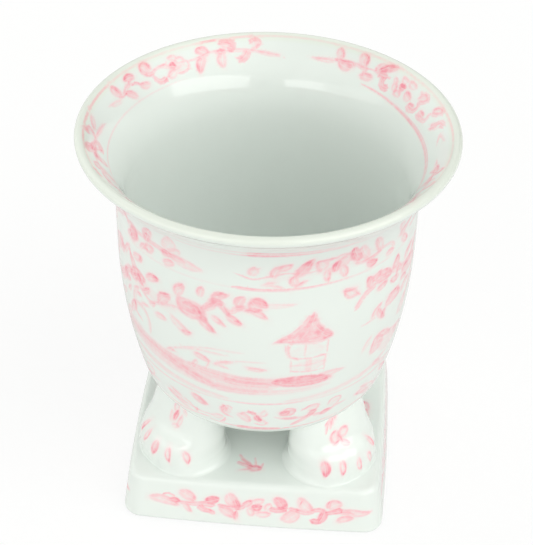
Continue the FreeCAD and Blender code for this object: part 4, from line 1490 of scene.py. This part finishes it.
@dataclass
class PawFoot:
    """A lion-paw foot: a soft oval form whose outward side swells into five painted toes."""

    corner: Corner
    profile: Profile
    deck: float = 34.0
    toe_reach: float = 95.27
    squareness: float = 2.2
    toes: int = 5
    toe_spacing: float = 22.5
    columns: int = 240
    levels: int = 64
    crowding: float = 1.25
    sink: float = 0.5
    sole_drop: float = 0.05
    fillet: float = 0.7
    fillet_rise: float = 1.6
    top_range: Point = (28.0, 52.0)
    top_steps: int = 400
    claw_centre: float = 26.5
    claw_scale: float = 27.0
    left_flower: Point = (37.6, 24.0)
    right_flower: Point = (30.0, -19.0)
    flower_depth: float = 9.0
    flower_reach: float = 19.0
    least_contrast: float = 0.05

    def station(self, height: np.ndarray) -> tuple[np.ndarray, np.ndarray, np.ndarray, np.ndarray]:
        """Read the paw's sizes at a height.

        Args:
            height: Heights over the deck.

        Returns:
            The setback of the toes, the depth, the half width and the relief of the toes at each height.
        """
        heights = (0, 2.6, 9, 20, 25.5, 36, 52)
        setback = flowing(heights, (0, 0, 0, 4.2, 9.4, 15, 21.5), height)
        depth = flowing(heights, (55, 53.6, 53, 47, 41, 34, 26), height)
        half_width = flowing(heights, (31.8, 30, 28.8, 28.6, 27.6, 26.6, 23.5), height)
        relief = flowing(heights, (0.1, 0.22, 0.3, 0.12, 0, 0, 0), height)
        return setback, depth, half_width, relief

    def skin(self, height: np.ndarray, turn: np.ndarray) -> tuple[np.ndarray, np.ndarray]:
        """Find the skin.

        Args:
            height: Heights over the deck.
            turn: Angles from the outward diagonal.

        Returns:
            How far out and how far across the skin lies at each height and angle.
        """
        setback, depth, half_width, relief = self.station(height)
        power = self.squareness
        oval = np.abs(np.cos(turn) / (depth / 2)) ** power + np.abs(np.sin(turn) / half_width) ** power
        reach = oval ** (-1 / power)
        bearing = np.degrees((turn + pi) % tau - pi)
        waves = np.cos(tau * bearing / self.toe_spacing)
        toes = np.where(np.abs(bearing) > self.toe_spacing * self.toes / 2, -1.0, waves)
        foot = self.fillet * np.clip(1 - height / (self.fillet_rise * self.fillet), 0, 1) ** 2
        reach = reach + relief * toes + foot
        middle = self.toe_reach - setback - depth / 2
        return middle + reach * np.cos(turn), reach * np.sin(turn)

    def rings(self) -> np.ndarray:
        """Draw the skin.

        Returns:
            Its rings from the sole up to where it meets the bowl.
        """
        turn = np.arange(self.columns) * tau / self.columns
        tops = np.linspace(*self.top_range, self.top_steps)
        height, angle = np.meshgrid(tops, turn)
        out, across = self.skin(height, angle)
        under = self.profile.seat(np.hypot(out, across)) + self.sink - self.deck
        met = np.argmax(height >= under, axis=1)
        top = np.where((height >= under).any(axis=1), tops[met], tops[-1])
        share = np.linspace(0, 1, self.levels)[:, None] ** self.crowding
        height = share * top[None, :]
        out, across = self.skin(height, np.broadcast_to(turn, height.shape))
        lift = self.deck + height
        lift[0] -= self.sole_drop
        return np.stack([(out - across) / sqrt(2), (out + across) / sqrt(2), lift], -1)

    def point(self, height: float, turn: float) -> np.ndarray:
        """Return one point of the first paw's skin."""
        out, across = self.skin(np.array([height]), np.array([turn]))
        return np.array([out[0] - across[0], out[0] + across[0], sqrt(2) * (self.deck + height)]) / sqrt(2)

    def beside(self, solid: np.ndarray, height: float,
               turn: float) -> tuple[np.ndarray, np.ndarray, np.ndarray]:
        """Lay a flat canvas against the skin at one spot.

        Args:
            solid: Points of the first paw.
            height: The spot's height over the deck.
            turn: The spot's angle from the outward diagonal.

        Returns:
            How far the points lie across and up on the canvas, and which of them it covers.
        """
        spot = self.point(height, turn)
        side = self.point(height, turn + 0.02) - spot
        side /= np.linalg.norm(side)
        rise = self.point(height + 0.5, turn) - spot
        rise -= side * (rise @ side)
        rise /= np.linalg.norm(rise)
        offset = solid - spot
        flat = np.abs(offset @ np.cross(side, rise)) < self.flower_depth
        return offset @ side, offset @ rise, flat & (np.linalg.norm(offset, axis=1) < self.flower_reach)

    def paint(self, solid: np.ndarray) -> np.ndarray:
        """Paint the claws and the flower on the ankle.

        Args:
            solid: Points of the first paw.

        Returns:
            The pigment at the points and the place across the brush, in two columns.
        """
        leftward = self.corner.leftward
        out = (solid[:, 0] + solid[:, 1]) / sqrt(2) - (self.toe_reach - self.claw_centre)
        across = (solid[:, 1] - solid[:, 0]) / sqrt(2)
        claws = Canvas([claw.dab(self.claw_scale) for claw in (LEFT_CLAWS if leftward else RIGHT_CLAWS)])
        paint = claws.paint(np.arctan2(across, out) * self.claw_scale, solid[:, 2] - self.deck)
        height, bearing = self.left_flower if leftward else self.right_flower
        flower = Canvas(left_ankle_flower() if leftward else right_ankle_flower())
        x, y, covered = self.beside(solid, height, radians(bearing))
        marks = flower.paint(x[covered], y[covered])
        paint[covered] = np.where(marks[:, :1] > paint[covered][:, :1], marks, paint[covered])
        return paint

    def build(self, material: bpy.types.Material) -> bpy.types.Object:
        """Raise the paw, paint it and turn it to its corner.

        Args:
            material: The glaze.

        Returns:
            The finished paw.
        """
        node, turns = self.corner.value
        piece = RingStack("painted_" + node, self.rings()).build()
        refine(piece, self.paint(coordinates(piece.data))[:, 0], self.least_contrast)
        paint = self.paint(coordinates(piece.data))
        piece.data.transform(Matrix.Rotation(turns * pi / 2, 4, "Z"))
        dress(piece, material, paint)
        settle(piece, node)
        return piece


@dataclass
class Plinth:
    """The square plinth: bowed, tapered sides with round edges, a flat deck and a hollow underside."""

    height: float = 34.0
    base_half: float = 87.0
    deck_half: float = 82.5
    corner: float = 13.0
    inner_corner: float = 6.0
    bow: float = 1.6
    top_round: float = 4.5
    base_round: float = 2.4
    wall: float = 7.0
    deck_thickness: float = 7.0
    side_columns: int = 128
    corner_columns: int = 14
    base_steps: int = 7
    top_steps: int = 9
    side_pitch: float = 1.1
    side_gaps: Point = (1.0, 0.6)
    deck_pitch: float = 1.2
    deck_border: float = 30.0
    ceiling_halves: tuple[float, ...] = (2, 30, 60, 72)
    deck_halves: tuple[float, ...] = (36, 18, 2)
    garland_strength: float = 1.18
    sprig_strength: float = 0.85
    side_top: float = 0.5
    deck_skin: float = 0.2
    side_from: float = 80.0
    sprig_from: float = 40.0
    sprig_half: float = 30.0
    front_sprig: float = 66.0
    other_sprigs: float = 69.5
    least_contrast: float = 0.06

    def outline(self, half: float, corner: float, height: float) -> np.ndarray:
        """Draw one level ring of bowed sides that run smoothly into round corners.

        Args:
            half: Half the ring's width.
            corner: The radius of its corners.
            height: Its height over the floor.

        Returns:
            The ring's points.
        """
        bow = self.bow * half / self.base_half
        chord = half - corner
        radius = (chord**2 + bow**2) / (2 * bow)
        back = half - radius
        centre = (back + sqrt(2 * (radius - corner) ** 2 - back**2)) / 2
        tangent = atan2(centre, centre - back)
        points = []
        for quarter in range(4):
            turn = quarter * pi / 2
            angle = np.linspace(turn - tangent, turn + tangent, self.side_columns, endpoint=False)
            points.append(np.stack([back * cos(turn) + radius * np.cos(angle),
                                    back * sin(turn) + radius * np.sin(angle)], -1))
            angle = np.linspace(turn + tangent, turn + pi / 2 - tangent, self.corner_columns, endpoint=False)
            points.append(np.stack([centre * sqrt(2) * cos(turn + pi / 4) + corner * np.cos(angle),
                                    centre * sqrt(2) * sin(turn + pi / 4) + corner * np.sin(angle)], -1))
        level = np.concatenate(points)
        return np.column_stack([level, np.full(len(level), height)])

    def half_at(self, height: float) -> float:
        """Return half the plinth's width at a height, before its edges are rounded."""
        return self.base_half + (self.deck_half - self.base_half) * height / self.height

    def middle_ring(self, half: float, height: float) -> np.ndarray:
        """Return a ring near the middle of the deck or of the hollow's ceiling."""
        return self.outline(half, 1.0 + half * 0.05, height)

    def rings(self) -> np.ndarray:
        """Draw the skin.

        Returns:
            Its rings from the middle of the hollow's ceiling over rim, side and deck to the deck's middle.
        """
        ceiling = self.height - self.deck_thickness
        slope = atan2(self.base_half - self.deck_half, self.height)
        rings = [self.middle_ring(half, ceiling) for half in self.ceiling_halves]
        for height in (ceiling, ceiling - 1, ceiling / 2, 1, 0):
            rings.append(self.outline(self.half_at(height) - self.wall, self.inner_corner, height))
        middle = self.base_half - self.base_round * (1 + sin(slope)) / cos(slope)
        for share in np.linspace(0, 1, self.base_steps):
            angle = -pi / 2 + share * (pi / 2 + slope)
            half = middle + self.base_round * cos(angle)
            lift = self.base_round * (1 + sin(angle))
            rings.append(self.outline(half, self.corner + half - self.base_half, lift))
        first = self.base_round * (1 + sin(slope)) + self.side_gaps[0]
        last = self.height - self.top_round * (1 - sin(slope)) - self.side_gaps[1]
        for height in np.arange(first, last, self.side_pitch):
            rings.append(self.outline(self.half_at(height), self.corner, height))
        middle = self.half_at(self.height - self.top_round) - self.top_round / cos(slope)
        for share in np.linspace(0, 1, self.top_steps):
            angle = slope + share * (pi / 2 - slope)
            half = middle + self.top_round * cos(angle)
            lift = self.height - self.top_round + self.top_round * sin(angle)
            rings.append(self.outline(half, self.corner + half - self.half_at(lift), lift))
        for inset in np.arange(self.deck_pitch, self.deck_border, self.deck_pitch):
            half = middle - inset
            rings.append(self.outline(half, self.inner_corner + 2.0 * half / middle, self.height))
        rings += [self.middle_ring(half, self.height) for half in self.deck_halves]
        return np.stack(rings)

    def paint(self, solid: np.ndarray) -> np.ndarray:
        """Paint a garland on each side and a sprig on each edge of the deck.

        Args:
            solid: Points of the plinth.

        Returns:
            The pigment at the points and the place across the brush, in two columns.
        """
        side = Canvas()
        side.add(plinth_garland(), strength=self.garland_strength)
        deck = Canvas()
        deck.add(deck_sprig(), strength=self.sprig_strength)
        paint = np.zeros((len(solid), 2))
        for quarter in range(4):
            c, s = cos(quarter * pi / 2), sin(quarter * pi / 2)
            x = solid[:, 0] * c + solid[:, 1] * s
            y = solid[:, 1] * c - solid[:, 0] * s
            front = (y < -self.side_from) & (solid[:, 2] < self.height - self.side_top) & (np.abs(x) < -y)
            top = (y < -self.sprig_from) & (solid[:, 2] > self.height - self.deck_skin)
            top &= np.abs(x) < self.sprig_half
            root = self.other_sprigs if quarter else self.front_sprig
            paint[front] = side.paint(x[front], solid[front, 2])
            paint[top] = deck.paint(x[top], y[top] + root)
        return paint

    def build(self, material: bpy.types.Material) -> bpy.types.Object:
        """Raise the plinth and paint it.

        Args:
            material: The glaze.

        Returns:
            The finished plinth.
        """
        piece = RingStack("painted_plinth", self.rings()).build()
        refine(piece, self.paint(coordinates(piece.data))[:, 0], self.least_contrast)
        dress(piece, material, self.paint(coordinates(piece.data)))
        settle(piece, "plinth")
        return piece


@dataclass(frozen=True)
class Softbox:
    """A flat lamp that the glaze mirrors, placed by its bearing from the front, its rise and its distance."""

    name: str
    azimuth: float
    elevation: float
    distance: float
    size: Point
    power: float

    def build(self, aim: Vector) -> None:
        """Hang the lamp round the planter and turn it to a point.

        Args:
            aim: The point.
        """
        lamp = bpy.data.lights.new(self.name, "AREA")
        lamp.shape = "RECTANGLE"
        lamp.size, lamp.size_y = self.size
        lamp.energy = self.power
        stand = bpy.data.objects.new(self.name, lamp)
        stand.location = aim + self.distance * bearing_vector(self.azimuth, self.elevation)
        stand.visible_diffuse = False
        stand.rotation_mode = "QUATERNION"
        stand.rotation_quaternion = (aim - stand.location).to_track_quat("-Z", "Y")
        bpy.context.scene.collection.objects.link(stand)


@dataclass(frozen=True)
class Glow:
    """A soft bright patch of the surround, placed by its bearing from the front and its rise.

    Its light fades out towards the directions whose cosine to its middle is the reach.
    """

    azimuth: float
    elevation: float
    strength: float
    reach: float = 0.6


@dataclass(frozen=True)
class Studio:
    """The camera at the photo's angle, soft lamps, a pale surround and a floor.

    Paleness and gleam say how much of the floor shows as plain white, to the camera and in the glaze.
    """

    place: Triple = (0.0554, -0.7459, 0.7265)
    azimuth: float = 4.2497
    elevation: float = 39.2922
    roll: float = 1.1255
    lens: float = 98.31
    sensor: float = 36.0
    clip: Point = (0.02, 50.0)
    shift: Point = (0.00267, 0.0651)
    aim_height: float = 0.13
    floor_size: float = 12.0
    floor_gap: float = 0.0006
    floor_grey: float = 0.8
    floor_roughness: float = 0.9
    floor_glow: float = 1.08
    paleness: float = 0.75
    gleam: float = 0.4
    warmth: Triple = (0.985, 1.0, 0.962)
    glows: tuple[Glow, ...] = (
        Glow(50, 38, 1.72), Glow(-40, 12, 1.56), Glow(-110, 12, 1.03),
        Glow(-150, 38, 0.65), Glow(100, 38, 0.47), Glow(150, 38, 0.3),
    )
    lamps: tuple[Softbox, ...] = (
        Softbox("lamp_left", -22, 18.5, 1.5, (0.75, 0.27), 1.5),
        Softbox("lamp_far_left", -60, 14, 1.5, (1.3, 0.55), 1.3),
        Softbox("lamp_right", 50, 19, 1.5, (1.6, 0.6), 6.6),
    )

    def camera(self) -> None:
        """Set up the camera that was solved from the photo's outlines."""
        back = bearing_vector(self.azimuth, self.elevation)
        right = Vector((0, 0, 1)).cross(back).normalized()
        up = back.cross(right)
        roll = radians(self.roll)
        across = cos(roll) * right + sin(roll) * up
        upright = cos(roll) * up - sin(roll) * right
        data = bpy.data.cameras.new("camera")
        data.sensor_fit = "AUTO"
        data.sensor_width = self.sensor
        data.lens = self.lens
        data.shift_x, data.shift_y = self.shift
        data.clip_start, data.clip_end = self.clip
        eye = bpy.data.objects.new("camera", data)
        turned = Matrix((across, upright, back)).transposed().to_4x4()
        eye.matrix_world = Matrix.Translation(self.place) @ turned
        bpy.context.scene.collection.objects.link(eye)
        bpy.context.scene.camera = eye

    def sky(self) -> None:
        """Make a soft surround of a few bright patches, which the camera sees as white."""
        world = bpy.data.worlds.new("surround")
        world.use_nodes = True
        tree = world.node_tree
        links = tree.links
        glow = tree.nodes["Background"]
        glow.inputs["Color"].default_value = (*self.warmth, 1)
        way = add_node(tree, "TexCoord")
        total = None
        for patch in self.glows:
            middle = bearing_vector(patch.azimuth, patch.elevation)
            facing = add_node(tree, "VectorMath", {1: middle}, operation="DOT_PRODUCT")
            ends = {"From Min": patch.reach, "To Max": patch.strength}
            rise = add_node(tree, "MapRange", ends, interpolation_type="SMOOTHSTEP")
            links.new(way.outputs["Generated"], facing.inputs[0])
            links.new(facing.outputs["Value"], rise.inputs["Value"])
            share = rise.outputs["Result"]
            if total:
                both = add_node(tree, "Math", operation="ADD")
                links.new(total, both.inputs[0])
                links.new(share, both.inputs[1])
                share = both.outputs["Value"]
            total = share
        links.new(total, glow.inputs["Strength"])
        white = add_node(tree, "Background", {"Color": (1, 1, 1, 1)})
        ray = add_node(tree, "LightPath")
        choice = add_node(tree, "MixShader")
        links.new(ray.outputs["Is Camera Ray"], choice.inputs["Fac"])
        links.new(glow.outputs["Background"], choice.inputs[1])
        links.new(white.outputs["Background"], choice.inputs[2])
        links.new(choice.outputs["Shader"], tree.nodes["World Output"].inputs["Surface"])
        bpy.context.scene.world = world

    def floor(self) -> None:
        """Lay a plain pale floor under the planter."""
        bpy.ops.object.select_all(action="DESELECT")
        bpy.ops.mesh.primitive_plane_add(size=self.floor_size, location=(0, 0, -self.floor_gap))
        plane = bpy.context.object
        plane.name = "floor"
        made = bpy.data.materials.new("floor")
        made.use_nodes = True
        tree = made.node_tree
        links = tree.links
        shader = tree.nodes["Principled BSDF"]
        grey = self.floor_grey
        shader.inputs["Base Color"].default_value = (grey, grey, grey, 1)
        shader.inputs["Roughness"].default_value = self.floor_roughness
        ray = add_node(tree, "LightPath")
        seen = add_node(tree, "Math", {1: self.gleam}, operation="MULTIPLY_ADD")
        part = add_node(tree, "Math", {1: self.paleness}, operation="MULTIPLY")
        glow = add_node(tree, "Emission", {"Strength": self.floor_glow})
        choice = add_node(tree, "MixShader")
        links.new(ray.outputs["Is Glossy Ray"], seen.inputs[0])
        links.new(ray.outputs["Is Camera Ray"], seen.inputs[2])
        links.new(seen.outputs["Value"], part.inputs[0])
        links.new(part.outputs["Value"], choice.inputs["Fac"])
        links.new(shader.outputs["BSDF"], choice.inputs[1])
        links.new(glow.outputs["Emission"], choice.inputs[2])
        links.new(choice.outputs["Shader"], tree.nodes["Material Output"].inputs["Surface"])
        plane.data.materials.append(made)

    def build(self) -> None:
        """Set up camera, light and floor, and the plain view of colours."""
        self.camera()
        self.sky()
        self.floor()
        for lamp in self.lamps:
            lamp.build(Vector((0, 0, self.aim_height)))
        bpy.context.scene.view_settings.view_transform = "Standard"


def main() -> None:
    """Build the planter piece by piece, logging each piece's faces, then the studio."""
    logging.basicConfig(level=logging.INFO, format="%(name)s: %(message)s")
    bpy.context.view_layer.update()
    glaze = Glaze().material()
    profile = Profile()
    makers = [PaintedBowl(profile), Plinth()] + [PawFoot(corner, profile) for corner in Corner]
    for maker in makers:
        piece = maker.build(glaze)
        log.info("%s: %d faces", piece.name, len(piece.data.polygons))
    Studio().build()


if __name__ == "__main__":
    main()
